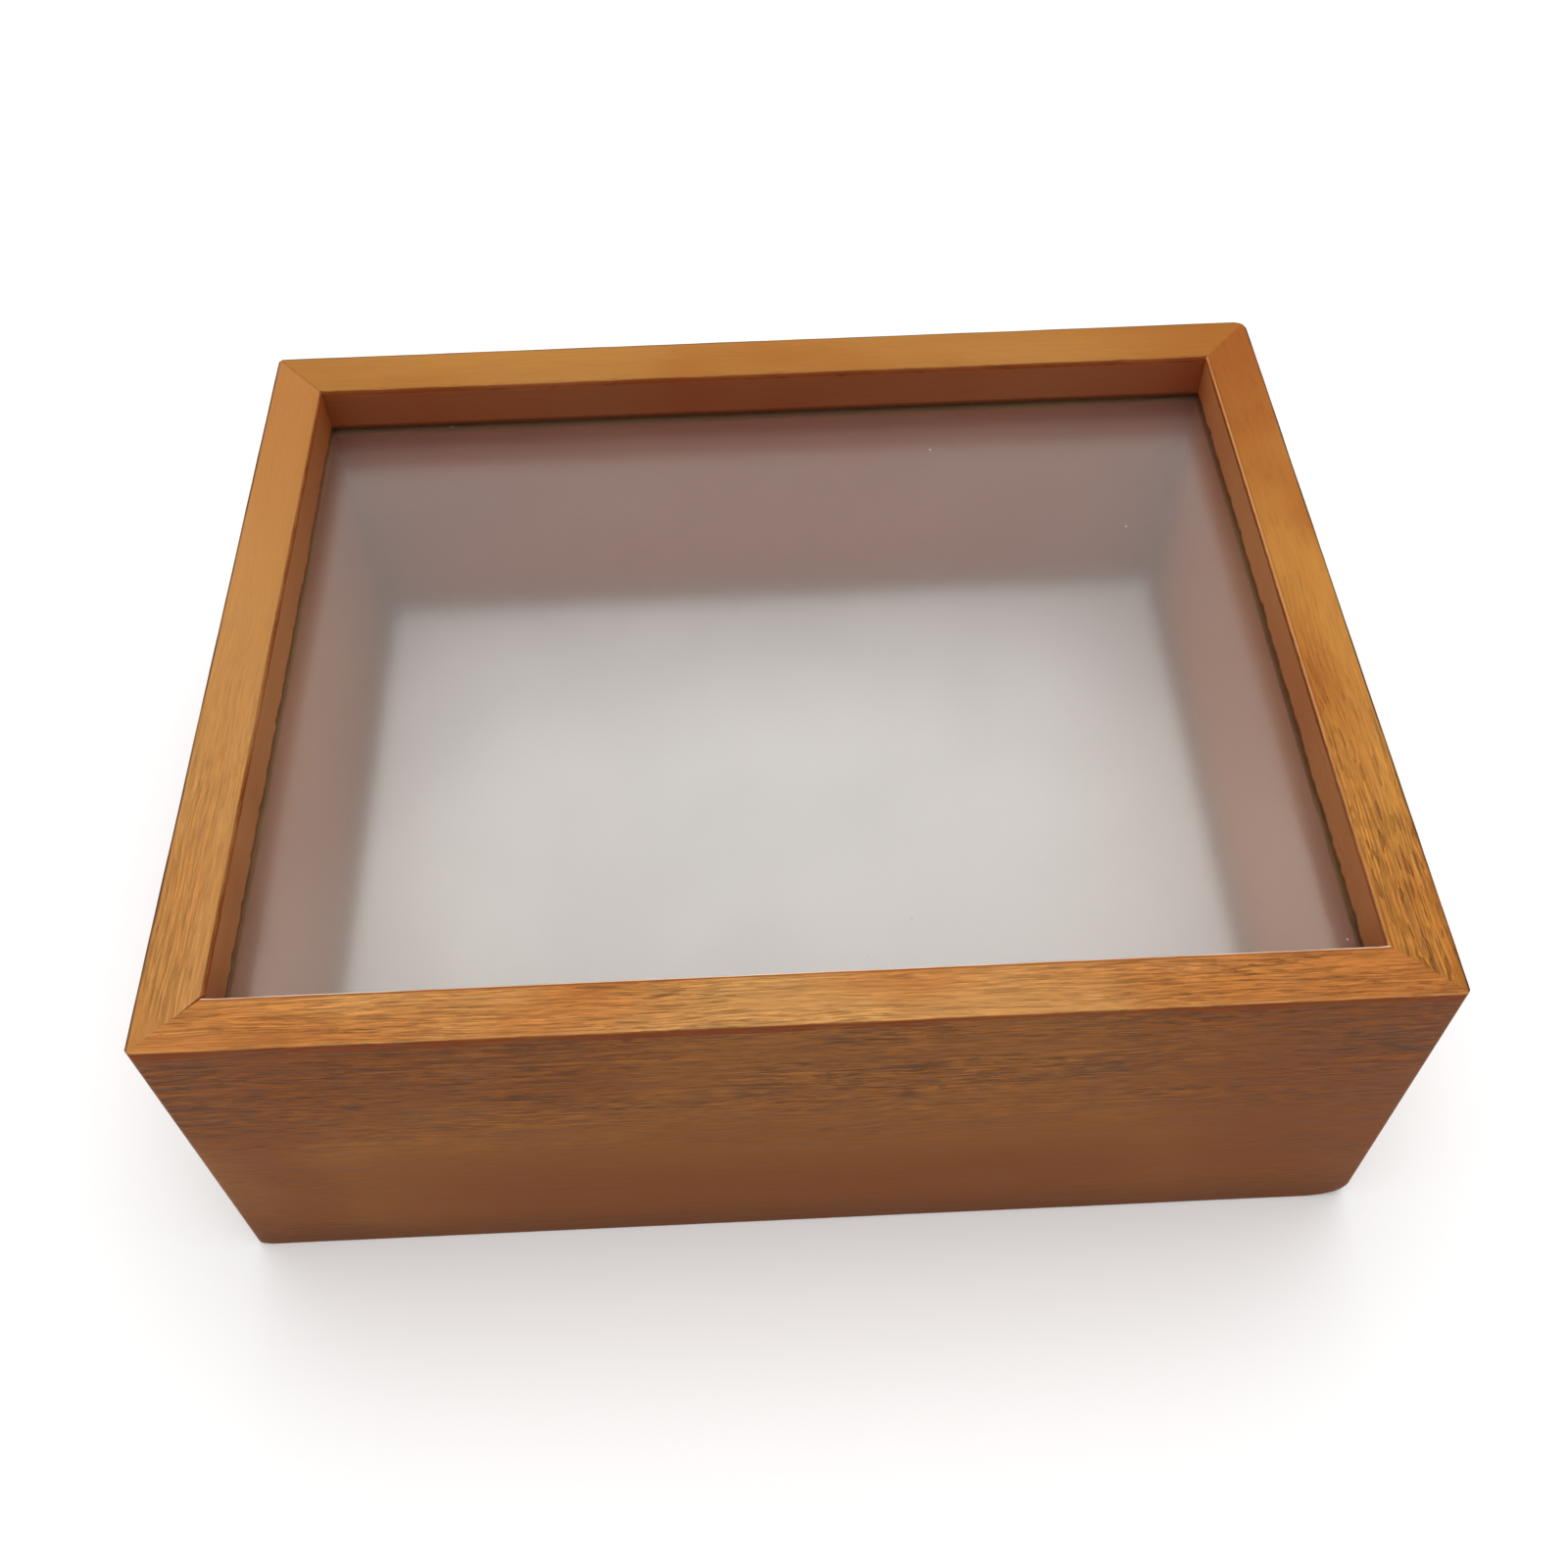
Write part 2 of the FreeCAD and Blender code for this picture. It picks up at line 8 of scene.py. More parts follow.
import bmesh
import bpy
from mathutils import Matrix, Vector


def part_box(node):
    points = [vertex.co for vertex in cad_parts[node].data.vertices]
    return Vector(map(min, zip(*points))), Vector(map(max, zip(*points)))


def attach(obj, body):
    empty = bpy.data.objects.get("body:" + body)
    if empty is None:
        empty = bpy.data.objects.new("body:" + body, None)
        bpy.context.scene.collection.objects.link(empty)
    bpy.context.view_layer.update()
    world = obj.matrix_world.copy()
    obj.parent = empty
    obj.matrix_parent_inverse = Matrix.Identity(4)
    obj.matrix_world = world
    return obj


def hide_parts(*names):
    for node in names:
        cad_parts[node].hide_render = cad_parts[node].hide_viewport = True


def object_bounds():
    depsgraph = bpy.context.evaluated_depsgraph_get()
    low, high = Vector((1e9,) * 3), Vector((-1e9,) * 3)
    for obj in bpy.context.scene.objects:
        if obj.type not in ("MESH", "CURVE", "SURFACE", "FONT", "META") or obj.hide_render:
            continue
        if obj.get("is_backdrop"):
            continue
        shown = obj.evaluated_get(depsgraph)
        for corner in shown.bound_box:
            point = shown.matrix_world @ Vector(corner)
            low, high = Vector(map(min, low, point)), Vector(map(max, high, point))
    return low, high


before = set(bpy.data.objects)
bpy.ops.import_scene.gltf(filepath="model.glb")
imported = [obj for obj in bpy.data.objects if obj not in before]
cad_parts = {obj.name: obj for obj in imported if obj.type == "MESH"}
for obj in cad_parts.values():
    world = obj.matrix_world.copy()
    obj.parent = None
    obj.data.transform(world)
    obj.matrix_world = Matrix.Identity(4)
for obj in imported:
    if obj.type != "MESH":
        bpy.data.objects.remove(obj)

LOG = logging.getLogger("display_case")
MM = 0.001
NEAR = 1e-6
CUT_MERGE = 1e-7
FACING = 0.9
FRAME_BODY = "glazed_frame"
BACK_BODY = "back"
HEIGHT_MARGIN = 0.01 * MM

Point = tuple[float, float, float]
Colour = tuple[float, float, float]

WHITE: Colour = (1.0, 1.0, 1.0)
BLACK: Colour = (0.0, 0.0, 0.0)


class Grain(Enum):
    """Which way a board's grain runs, as the turn in degrees from X about the vertical."""

    ALONG_X = 0.0
    ALONG_Y = 90.0


class Ray(Enum):
    """The kinds of ray that a material tells apart, as the Light Path outputs' names."""

    CAMERA = "Is Camera Ray"
    GLOSSY = "Is Glossy Ray"
    TRANSMISSION = "Is Transmission Ray"
    SHADOW = "Is Shadow Ray"
    DIFFUSE = "Is Diffuse Ray"


SEEN_RAYS = (Ray.CAMERA, Ray.GLOSSY, Ray.TRANSMISSION)
LIGHT_RAYS = (Ray.SHADOW, Ray.DIFFUSE)


# ---------------------------------------------------------------- modelling with edit operators


def deselect_everything() -> None:
    """Leave no object selected, because an operator acts on all that is."""
    if bpy.context.object is not None and bpy.context.object.mode != "OBJECT":
        bpy.ops.object.mode_set(mode="OBJECT")
    bpy.ops.object.select_all(action="DESELECT")


def add_block(name: str, low: Point, high: Point) -> bpy.types.Object:
    """Add a cuboid from its low corner to its high corner, with its place in its mesh.

    Args:
        name: the piece's name.
        low: lowest corner in metres.
        high: highest corner in metres.

    Returns:
        The new object, selected and active, at the origin.
    """
    deselect_everything()
    centre = [(a + b) / 2 for a, b in zip(low, high)]
    size = [b - a for a, b in zip(low, high)]
    bpy.ops.mesh.primitive_cube_add(size=1.0, location=centre, scale=size)
    bpy.ops.object.transform_apply(location=True, rotation=True, scale=True)
    piece = bpy.context.object
    piece.name = name
    piece.data.name = name
    return piece


def enter_edit(mode: str = "FACE") -> None:
    """Go into edit mode on the active object with one kind of selection."""
    bpy.ops.object.mode_set(mode="EDIT")
    bpy.ops.mesh.select_mode(type=mode)


def leave_edit() -> None:
    """Go back to object mode."""
    bpy.ops.object.mode_set(mode="OBJECT")


def select_parts(
    piece: bpy.types.Object, mode: str, facts: Callable[..., tuple], wanted: Callable[..., bool]
) -> None:
    """Select the faces, edges or vertices that are wanted, and nothing else.

    Args:
        piece: the object, in edit mode.
        mode: FACE, EDGE or VERT.
        facts: what is to be known of a part.
        wanted: told those facts, whether the part is wanted.
    """
    bpy.ops.mesh.select_mode(type=mode)
    bpy.ops.mesh.select_all(action="DESELECT")
    mesh = bmesh.from_edit_mesh(piece.data)
    for part in {"FACE": mesh.faces, "EDGE": mesh.edges, "VERT": mesh.verts}[mode]:
        part.select_set(wanted(*facts(part)))
    bmesh.update_edit_mesh(piece.data)


def select_faces(piece: bpy.types.Object, wanted: Callable[[Vector, Vector], bool]) -> None:
    """Select the faces whose centre and normal are wanted, and nothing else."""
    select_parts(piece, "FACE", lambda face: (face.calc_center_median(), face.normal), wanted)


def select_edges(piece: bpy.types.Object, wanted: Callable[[Vector, Vector], bool]) -> None:
    """Select the edges whose two ends are wanted, and nothing else."""
    select_parts(piece, "EDGE", lambda edge: (edge.verts[0].co, edge.verts[1].co), wanted)


def select_points(piece: bpy.types.Object, wanted: Callable[[Vector], bool]) -> None:
    """Select the vertices whose place is wanted, and nothing else."""
    select_parts(piece, "VERT", lambda point: (point.co,), wanted)


def slice_mesh(at: Point, normal: Point, cut_off: bool = False) -> None:
    """Cut the whole mesh in a plane.

    Args:
        at: a point of the plane.
        normal: the plane's normal.
        cut_off: whether the side that the normal points to is dropped and the cut closed.
    """
    bpy.ops.mesh.select_all(action="SELECT")
    bpy.ops.mesh.bisect(
        plane_co=at, plane_no=normal, use_fill=cut_off, clear_outer=cut_off, threshold=CUT_MERGE
    )


def slice_level(*levels: float) -> None:
    """Cut the whole mesh level at each of some heights."""
    for level in levels:
        slice_mesh((0, 0, level), (0, 0, 1))


def extrude_by(shift: Point) -> None:
    """Extrude the selected faces by a shift."""
    bpy.ops.mesh.extrude_region_move(TRANSFORM_OT_translate={"value": shift})


def bevel_selected(width: float, segments: int) -> None:
    """Round the selected edges."""
    bpy.ops.mesh.bevel(
        offset=width, offset_type="OFFSET", segments=segments, profile=0.5, affect="EDGES"
    )


def divide_sheet(piece: bpy.types.Object, columns: int, rows: int) -> None:
    """Divide a flat sheet's long edges into columns along X and rows along Y.

    Args:
        piece: the sheet, in edit mode.
        columns: how many cuts cross X.
        rows: how many cuts cross Y.
    """
    long_edge = 50 * MM
    select_edges(piece, lambda first, second: abs(first.x - second.x) > long_edge)
    bpy.ops.mesh.subdivide(number_cuts=columns)
    select_edges(piece, lambda first, second: abs(first.y - second.y) > long_edge)
    bpy.ops.mesh.subdivide(number_cuts=rows)


def group_selected(piece: bpy.types.Object, name: str) -> None:
    """Put the selected vertices into a vertex group."""
    piece.vertex_groups.new(name=name)
    bpy.ops.object.vertex_group_assign()


def ripple(piece: bpy.types.Object, name: str, depth: float, grain: float, group: str) -> None:
    """Move a part of the surface inwards by a soft noise, and apply it.

    Args:
        piece: the object, active.
        name: the noise's name.
        depth: the noise's full depth in metres.
        grain: the size of its lumps in metres.
        group: the vertex group that it acts on.
    """
    noise = bpy.data.textures.new(name, type="CLOUDS")
    noise.noise_scale = grain
    noise.noise_depth = 1
    bpy.ops.object.modifier_add(type="DISPLACE")
    modifier = piece.modifiers[-1]
    modifier.texture = noise
    modifier.texture_coords = "LOCAL"
    modifier.strength = depth
    modifier.mid_level = 1.0
    modifier.vertex_group = group
    bpy.ops.object.modifier_apply(modifier=modifier.name)


def smooth_by_angle(degrees: float) -> None:
    """Shade the active piece smooth, except over sharp edges."""
    bpy.ops.object.shade_smooth_by_angle(angle=math.radians(degrees))


def dress(piece: bpy.types.Object, material: bpy.types.Material) -> None:
    """Give a piece one material all over.

    Args:
        piece: the object to dress.
        material: its finish.
    """
    if piece.data.materials:
        for index in range(len(piece.data.materials)):
            piece.data.materials[index] = material
    else:
        piece.data.materials.append(material)


# ---------------------------------------------------------------- material graphs


@dataclass(frozen=True)
class Ramp:
    """A smooth change from low to high as a level goes from start to end."""

    start: float
    end: float
    low: float = 0.0
    high: float = 1.0

    def over(self, length: float) -> "Ramp":
        """The ramp whose start and end are given as shares of a length."""
        return Ramp(self.start * length, self.end * length, self.low, self.high)

    def by(self, amount: float) -> "Ramp":
        """The ramp with its low and its high times an amount."""
        return Ramp(self.start, self.end, self.low * amount, self.high * amount)


class Graph:
    """A small helper that wires the nodes of one material, or of the world."""

    def __init__(self, name: str, world: bool = False) -> None:
        """Start with nothing but the output.

        Args:
            name: what the material or world is called.
            world: whether it is a world.
        """
        self.owner = (bpy.data.worlds if world else bpy.data.materials).new(name)
        self.owner.use_nodes = True
        self.tree = self.owner.node_tree
        self.tree.nodes.clear()
        self.output = self.node("OutputWorld" if world else "OutputMaterial")

    def feed(self, socket: bpy.types.NodeSocket, source: object) -> None:
        """Link a socket to another, or set it to a plain value.

        Args:
            socket: the input.
            source: the output, number or colour that it gets.
        """
        if isinstance(source, bpy.types.NodeSocket):
            self.tree.links.new(source, socket)
        elif isinstance(source, tuple) and len(source) == 3 and socket.type == "RGBA":
            socket.default_value = (*source, 1.0)
        else:
            socket.default_value = source

    def node(self, kind: str, settings: dict[str, str] | None = None, **inputs: object) -> bpy.types.Node:
        """Add a node.

        Args:
            kind: its type's name.
            settings: its properties.
            inputs: what its inputs get, by their names with underscores for spaces.

        Returns:
            The new node.
        """
        made = self.tree.nodes.new("ShaderNode" + kind)
        for key, setting in (settings or {}).items():
            setattr(made, key, setting)
        for name, source in inputs.items():
            self.feed(made.inputs[name.replace("_", " ")], source)
        return made

    def place(
        self,
        scale: Point = (1, 1, 1),
        turn: float = 0.0,
        shift: Point = (0, 0, 0),
        source: object = None,
    ) -> object:
        """Coordinates turned, moved and stretched.

        Args:
            scale: how much they are stretched each way.
            turn: how far they are turned about the vertical, in degrees.
            shift: how far they are moved.
            source: the coordinates to start from, or nothing for the object's own.

        Returns:
            The coordinates.
        """
        return self.node(
            "Mapping",
            {"vector_type": "TEXTURE"},
            Vector=source or self.node("TexCoord").outputs["Object"],
            Location=shift,
            Rotation=(0, 0, math.radians(turn)),
            Scale=scale,
        ).outputs["Vector"]

    def noise(
        self,
        vector: object,
        scale: float = 1.0,
        detail: float = 2.0,
        rough: float = 0.5,
        warp: float = 0.0,
        output: str = "Fac",
    ) -> object:
        """A soft noise at a place.

        Args:
            vector: the coordinates.
            scale: how many lumps it has to a unit.
            detail: how many finer layers it has.
            rough: how strong they are.
            warp: how much it is distorted.
            output: Fac for a level, Color for three.

        Returns:
            The level or levels.
        """
        return self.node(
            "TexNoise", Vector=vector, Scale=scale, Detail=detail, Roughness=rough, Distortion=warp
        ).outputs[output]

    def swayed(self, soft: object, reach: float) -> object:
        """The object's own coordinates, swayed about by three soft levels.

        Args:
            soft: the levels.
            reach: how far a level of 1 moves a place.

        Returns:
            The coordinates.
        """
        sway = self.node("VectorMath", {"operation": "MULTIPLY_ADD"})
        self.feed(sway.inputs[0], soft)
        self.feed(sway.inputs[1], (reach, reach, reach))
        self.feed(sway.inputs[2], self.node("TexCoord").outputs["Object"])
        return sway.outputs["Vector"]

    def cells(self, vector: object) -> object:
        """The distance to the nearest of scattered points."""
        return self.node("TexVoronoi", Vector=vector, Scale=1.0).outputs["Distance"]

    def step(self, level: object, ramp: Ramp) -> object:
        """A level led through a ramp.

        Args:
            level: the level.
            ramp: the ramp.

        Returns:
            The ramp's level there.
        """
        return self.node(
            "MapRange",
            {"interpolation_type": "SMOOTHSTEP"},
            Value=level,
            From_Min=ramp.start,
            From_Max=ramp.end,
            To_Min=ramp.low,
            To_Max=ramp.high,
        ).outputs["Result"]

    def reckon(self, kind: str, first: object, second: object) -> object:
        """One arithmetic step.

        Args:
            kind: the step, as the Math node calls it.
            first: a level or a number.
            second: another.

        Returns:
            The result.
        """
        made = self.node("Math", {"operation": kind})
        self.feed(made.inputs[0], first)
        self.feed(made.inputs[1], second)
        return made.outputs["Value"]

    def plus(self, first: object, second: object) -> object:
        """The sum of two levels."""
        return self.reckon("ADD", first, second)

    def minus(self, first: object, second: object) -> object:
        """The first level less the second."""
        return self.reckon("SUBTRACT", first, second)

    def times(self, first: object, second: object) -> object:
        """The product of two levels."""
        return self.reckon("MULTIPLY", first, second)

    def larger(self, first: object, second: object) -> object:
        """The larger of two levels."""
        return self.reckon("MAXIMUM", first, second)

    def unsigned(self, level: object) -> object:
        """A level without its sign."""
        return self.reckon("ABSOLUTE", level, 0.0)

    def rest(self, share: object) -> object:
        """What a share leaves of the whole."""
        return self.reckon("SUBTRACT", 1.0, share)

    def blend(self, share: object, first: object, second: object) -> object:
        """A blend of two colours.

        Args:
            share: the second colour's share.
            first: a colour.
            second: another.

        Returns:
            The blended colour.
        """
        made = self.node("Mix", {"data_type": "RGBA"}, Factor=share)
        self.feed(made.inputs[6], first)
        self.feed(made.inputs[7], second)
        return made.outputs[2]

    def bump(self, height: object, depth: float, strength: float) -> object:
        """A normal that a height field tilts.

        Args:
            height: the height, from 0 to 1.
            depth: its full depth in metres.
            strength: how much of it shows.

        Returns:
            The normal.
        """
        return self.node("Bump", Strength=strength, Distance=depth, Height=height).outputs["Normal"]

    def any_ray(self, kinds: tuple[Ray, ...]) -> object:
        """1 for rays of any of the named kinds, otherwise 0.

        Args:
            kinds: the kinds of ray.

        Returns:
            The level.
        """
        path = self.node("LightPath")
        level = path.outputs[kinds[0].value]
        for kind in kinds[1:]:
            level = self.larger(level, path.outputs[kind.value])
        return level

    def see_through(self, tint: Colour, shader: object) -> object:
        """A shader that lets lamps and diffuse light straight through.

        Args:
            tint: the colour that the light takes.
            shader: what other rays meet.

        Returns:
            The mixed shader.
        """
        made = self.node("MixShader", Fac=self.any_ray(LIGHT_RAYS))
        self.feed(made.inputs[1], shader)
        self.feed(made.inputs[2], self.node("BsdfTransparent", Color=tint).outputs["BSDF"])
        return made.outputs["Shader"]

    def principled(self, **inputs: object) -> object:
        """A Principled shader with its inputs by their names, underscores for spaces."""
        return self.node("BsdfPrincipled", **inputs).outputs["BSDF"]

    def finish(self, shader: object) -> bpy.types.Material | bpy.types.World:
        """Connect the surface.

        Args:
            shader: what the surface shows.

        Returns:
            The finished material or world.
        """
        self.feed(self.output.inputs["Surface"], shader)
        return self.owner


@dataclass(frozen=True)
class Section:
    """The moulding that all four walls are cut from, with its places up from the base."""

    thickness: float
    height: float
    groove_floor: float
    groove_top: float
    rabbet_top: float
    kerf_floor: float
    kerf_top: float
    rim_fall: float = 1.2 * MM
    groove_depth: float = 4.0 * MM
    rabbet_width: float = 3.5 * MM
    kerf_depth: float = 2.4 * MM
    arris: float = 0.4 * MM

    @property
    def slope(self) -> float:
        """How steeply the rim falls."""
        return self.rim_fall / self.thickness

    @property
    def crest(self) -> float:
        """How high the rim's outer edge would stand if its arris were sharp."""
        return self.height + self.arris * (self.slope + math.hypot(1, self.slope) - 1)


@dataclass(frozen=True)
class Tones:
    """The lighter, darker and ruddier colours that one face of a board shows."""

    light: Colour
    dark: Colour
    ruddy: Colour


@dataclass(frozen=True)
class Brink:
    """A line of colour along one arris of the rim, and how dark a line lies beside it."""

    colour: Colour
    width: float
    share: float
    beside: float = 0.0


@dataclass(frozen=True)
class Streak:
    """The size of a noise's lumps along and across the grain, and how fine it is."""

    length: float
    width: float
    detail: float = 2.0
    rough: float = 0.5


@dataclass(frozen=True)
class Line:
    """A soft line's middle and half its width."""

    middle: float
    half_width: float

    def moved(self, shift: float) -> "Line":
        """The same line, further on."""
        return Line(shift + self.middle, self.half_width)


class WallPlaces:
    """Levels that tell a wall's faces and arrises apart, worked out from place and normal."""

    UPWARD = Ramp(0.45, 0.85)
    ON_RIM = Ramp(0.30, 0.50)
    HIGH_UP = Ramp(3 * MM, 4 * MM, 1.0, 0.0)
    INWARD = Ramp(0.4, 0.6)
    TO_END = Ramp(0.45, 0.95)
    LINE_EDGE = Ramp(0.4, 1.6, 1.0, 0.0)
    CORNER_REACH = 10 * MM

    def __init__(self, g: Graph, grain: Grain, section: Section, half_run: float, half_span: float) -> None:
        """Work the levels out.

        Args:
            g: the material's graph.
            grain: which way the wall runs.
            section: the wall's moulding.
            half_run: half the wall's length.
            half_span: how far the wall's outer face stands from the centre.
        """
        self.g = g
        self.section = section
        own = g.node("TexCoord")
        place = g.node("SeparateXYZ", Vector=own.outputs["Object"]).outputs
        normal = g.node("SeparateXYZ", Vector=own.outputs["Normal"]).outputs
        across, along = ("Y", "X") if grain is Grain.ALONG_X else ("X", "Y")
        self.across_case = place["Y"]
        self.along = place[along]
        self.up = place["Z"]
        self.below = g.minus(section.crest, self.up)
        self.depth = g.minus(half_span, g.unsigned(place[across]))
        tilt = g.unsigned(normal["Z"])
        self.upward = g.step(tilt, self.UPWARD)
        upright = g.rest(self.upward)
        self.inside = g.times(g.step(self.depth, self.INWARD.over(section.thickness)), upright)
        self.outside = g.minus(upright, self.inside)
        self.rim = g.times(g.step(tilt, self.ON_RIM), g.step(self.below, self.HIGH_UP))
        run = g.unsigned(self.along)
        corner = half_run - section.thickness
        self.cornered = g.times(g.step(run, Ramp(corner - self.CORNER_REACH, corner)), self.inside)
        self.ends = g.step(run, self.TO_END.over(half_run))

    def line(self, level: object, line: Line) -> object:
        """A soft line where a level is near a middle value.

        Args:
            level: the level.
            line: the middle value and half the line's width.

        Returns:
            1 on the line, and 0 away from it.
        """
        away = self.g.unsigned(self.g.minus(level, line.middle))
        return self.g.step(away, self.LINE_EDGE.over(line.half_width))


@dataclass(frozen=True)
class VarnishedWood:
    """A stained and varnished open-pored board, with its edge and its faces in tones of their own."""

    name: str
    grain: Grain
    shift: Point
    edge: Tones
    face: Tones
    inner: Tones
    outer_brink: Brink
    inner_brink: Brink
    ruddier: Ramp
    pore_share: float = 0.5
    relief: float = 1.0
    gouges: float = 0.0
    # Share of the inner faces' colour kept below the film; the rest is painted shade.
    light_kept_below_film: float = 1.0

    pore: Colour = (0.15, 0.044, 0.011)
    # Dark stain for the seams and the lines beside the arrises, also used for painted shade in the inner
    # corners.
    seam_stain_and_shade: Colour = (0.26, 0.050, 0.004)
    # Painted shade low on the outer faces, towards the foot on the floor.
    foot_shade: Colour = (0.16, 0.048, 0.012)
    # Painted shadow in the gap above the film, at the groove's lip.
    lip: Colour = (0.15, 0.036, 0.012)

    sway: Point = (26 * MM, 8 * MM, 8 * MM)
    sway_reach: float = 2.2 * MM
    lump_height: float = 1.6
    fibres: Streak = Streak(18 * MM, 0.34 * MM, 3.0, 0.6)
    flecks: Streak = Streak(4.5 * MM, 0.30 * MM, 2.0, 0.55)
    vessels: Streak = Streak(3.6 * MM, 0.34 * MM, 1.0)
    dashes: Streak = Streak(6.5 * MM, 0.8 * MM, 1.0)
    keen_clouds: Streak = Streak(38 * MM, 5 * MM)
    pore_clouds: Streak = Streak(30 * MM, 6 * MM)
    broad_clouds: Streak = Streak(120 * MM, 9 * MM)
    patches: Streak = Streak(55 * MM, 30 * MM)
    wander: Streak = Streak(16 * MM, 16 * MM)
    ragged: Streak = Streak(2.2 * MM, 2.2 * MM, 2.0, 0.6)

    fibre_tone: Ramp = Ramp(0.28, 0.72, -0.34, 0.28)
    fleck_tone: Ramp = Ramp(0.3, 0.7, -0.24, 0.20)
    pore_dark: Ramp = Ramp(0.0, 1.0, 0.62, 0.46)
    gouge_dark: float = 0.55
    sheen: Ramp = Ramp(0.3, 0.7, 0.44, 0.58)
    gloss: float = 0.12
    fibre_rise: float = 0.3
    fleck_rise: float = 0.9
    gouge_sink: float = 2.2
    relief_depth: float = 0.20 * MM
    relief_strength: float = 0.8

    def material(self, section: Section, half_run: float, half_span: float) -> bpy.types.Material:
        """Build the board's material.

        Args:
            section: the wall's moulding.
            half_run: half the wall's length.
            half_span: how far the wall's outer face stands from the centre.

        Returns:
            The material, with its grain along the board.
        """
        g = Graph(self.name)
        at = WallPlaces(g, self.grain, section, half_run, half_span)
        soft = g.noise(g.place(self.sway, self.grain.value, self.shift), detail=1.0, output="Color")
        wavy = g.swayed(soft, self.sway_reach)
        fibres = self._streaks(g, self.fibres, wavy)
        flecks = self._streaks(g, self.flecks, wavy)
        keen = self._keenness(g, at)
        pores = g.times(self._pores(g, wavy), keen)
        gouges = self._gouged(g, at, wavy)

        contrast = g.plus(g.step(fibres, self.fibre_tone), g.step(flecks, self.fleck_tone))
        toned = g.node(
            "VectorMath",
            {"operation": "SCALE"},
            Vector=self._stain(g, at),
            Scale=g.plus(1.0, g.times(contrast, keen)),
        )
        dark = g.times(pores, g.step(at.upward, self.pore_dark))
        dark = g.larger(dark, g.times(gouges, self.gouge_dark))
        colour = self._marks(g, at, g.blend(dark, toned.outputs["Vector"], self.pore))

        relief = g.minus(g.times(flecks, self.fleck_rise), pores)
        height = g.plus(g.times(fibres, self.fibre_rise), g.times(relief, keen))
        height = g.minus(height, g.times(gouges, self.gouge_sink))
        shader = g.principled(
            Base_Color=colour,
            Roughness=g.step(fibres, self.sheen),
            Specular_IOR_Level=self.gloss,
            Normal=g.bump(height, self.relief_depth, self.relief_strength),
        )
        return g.finish(shader)

    def _streaks(self, g: Graph, streak: Streak, source: object = None) -> object:
        """A noise whose lumps are drawn out along the grain, and broader down the upright faces.

        Args:
            g: the material's graph.
            streak: the lumps' size.
            source: the coordinates, or nothing for the object's own.

        Returns:
            The noise's level.
        """
        scale = (streak.length, streak.width, self.lump_height * streak.width)
        place = g.place(scale, self.grain.value, self.shift, source)
        return g.noise(place, detail=streak.detail, rough=streak.rough)

    def _keenness(self, g: Graph, at: WallPlaces) -> object:
        """How strongly the grain stands out: most at the front and high on the outer faces.

        Args:
            g: the material's graph.
            at: the wall's places.

        Returns:
            The grain's strength.
        """
        backward = Ramp(-68 * MM, 25 * MM, 1.0, 0.14)
        downward = Ramp(0.28, 0.66, 1.25, 0.10)
        cloudy = Ramp(0.36, 0.58, 0.62, 1.12)
        end_share, inner_loss = 0.55, 0.85
        high = g.step(at.below, downward.over(at.section.height))
        lasting = g.larger(high, g.times(at.ends, end_share))
        placed = g.plus(g.times(lasting, g.rest(at.upward)), at.upward)
        placed = g.times(placed, g.rest(g.times(at.inside, inner_loss)))
        placed = g.times(g.step(at.across_case, backward.by(self.relief)), placed)
        return g.times(placed, g.step(self._streaks(g, self.keen_clouds), cloudy))

    def _pores(self, g: Graph, wavy: object) -> object:
        """The open pores, gathered in loose bands.

        Args:
            g: the material's graph.
            wavy: the swayed coordinates.

        Returns:
            1 in a pore and 0 beside it.
        """
        opened = Ramp(0.575, 0.64)
        bare, filled, blur, thin = 0.70, 0.32, 0.14, 0.38
        start = bare - filled * self.pore_share
        bands = g.step(self._streaks(g, self.pore_clouds), Ramp(start, start + blur, thin))
        return g.times(g.step(self._streaks(g, self.vessels, wavy), opened), bands)

    def _gouged(self, g: Graph, at: WallPlaces, wavy: object) -> object:
        """Short torn-out dashes in the rim towards the front.

        Args:
            g: the material's graph.
            at: the wall's places.
            wavy: the swayed coordinates.

        Returns:
            1 in a dash and 0 beside it.
        """
        torn = Ramp(0.62, 0.67)
        backward = Ramp(-72 * MM, -5 * MM, 1.0, 0.15)
        placed = g.step(at.across_case, backward.by(self.gouges))
        return g.times(g.step(self._streaks(g, self.dashes, wavy), torn), g.times(placed, at.upward))

    def _stain(self, g: Graph, at: WallPlaces) -> object:
        """The stain's broad colour, face by face, with painted shade low on the outer faces and below the
        film inside.

        Args:
            g: the material's graph.
            at: the wall's places.

        Returns:
            The colour.
        """
        lighter, middle_share = Ramp(0.34, 0.68), 0.5
        patchy = Ramp(0.42, 0.66, 0.0, 0.85)
        downward = Ramp(0.35, 0.75, 0.0, 0.85)
        foot_shading = Ramp(0.0, 14 * MM, 0.7, 0.0)
        light, dark, ruddy = (
            g.blend(at.inside, g.blend(at.upward, face, edge), inner)
            for face, edge, inner in zip(astuple(self.face), astuple(self.edge), astuple(self.inner))
        )
        broad = g.step(self._streaks(g, self.broad_clouds), lighter)
        colour = g.blend(g.larger(broad, g.times(g.rest(at.ends), middle_share)), dark, light)
        low = g.times(g.step(at.below, downward.over(at.section.height)), g.rest(at.ends))
        reddened = g.larger(low, g.step(at.along, self.ruddier))
        reddened = g.larger(g.step(self._streaks(g, self.patches), patchy), reddened)
        colour = g.blend(reddened, colour, ruddy)
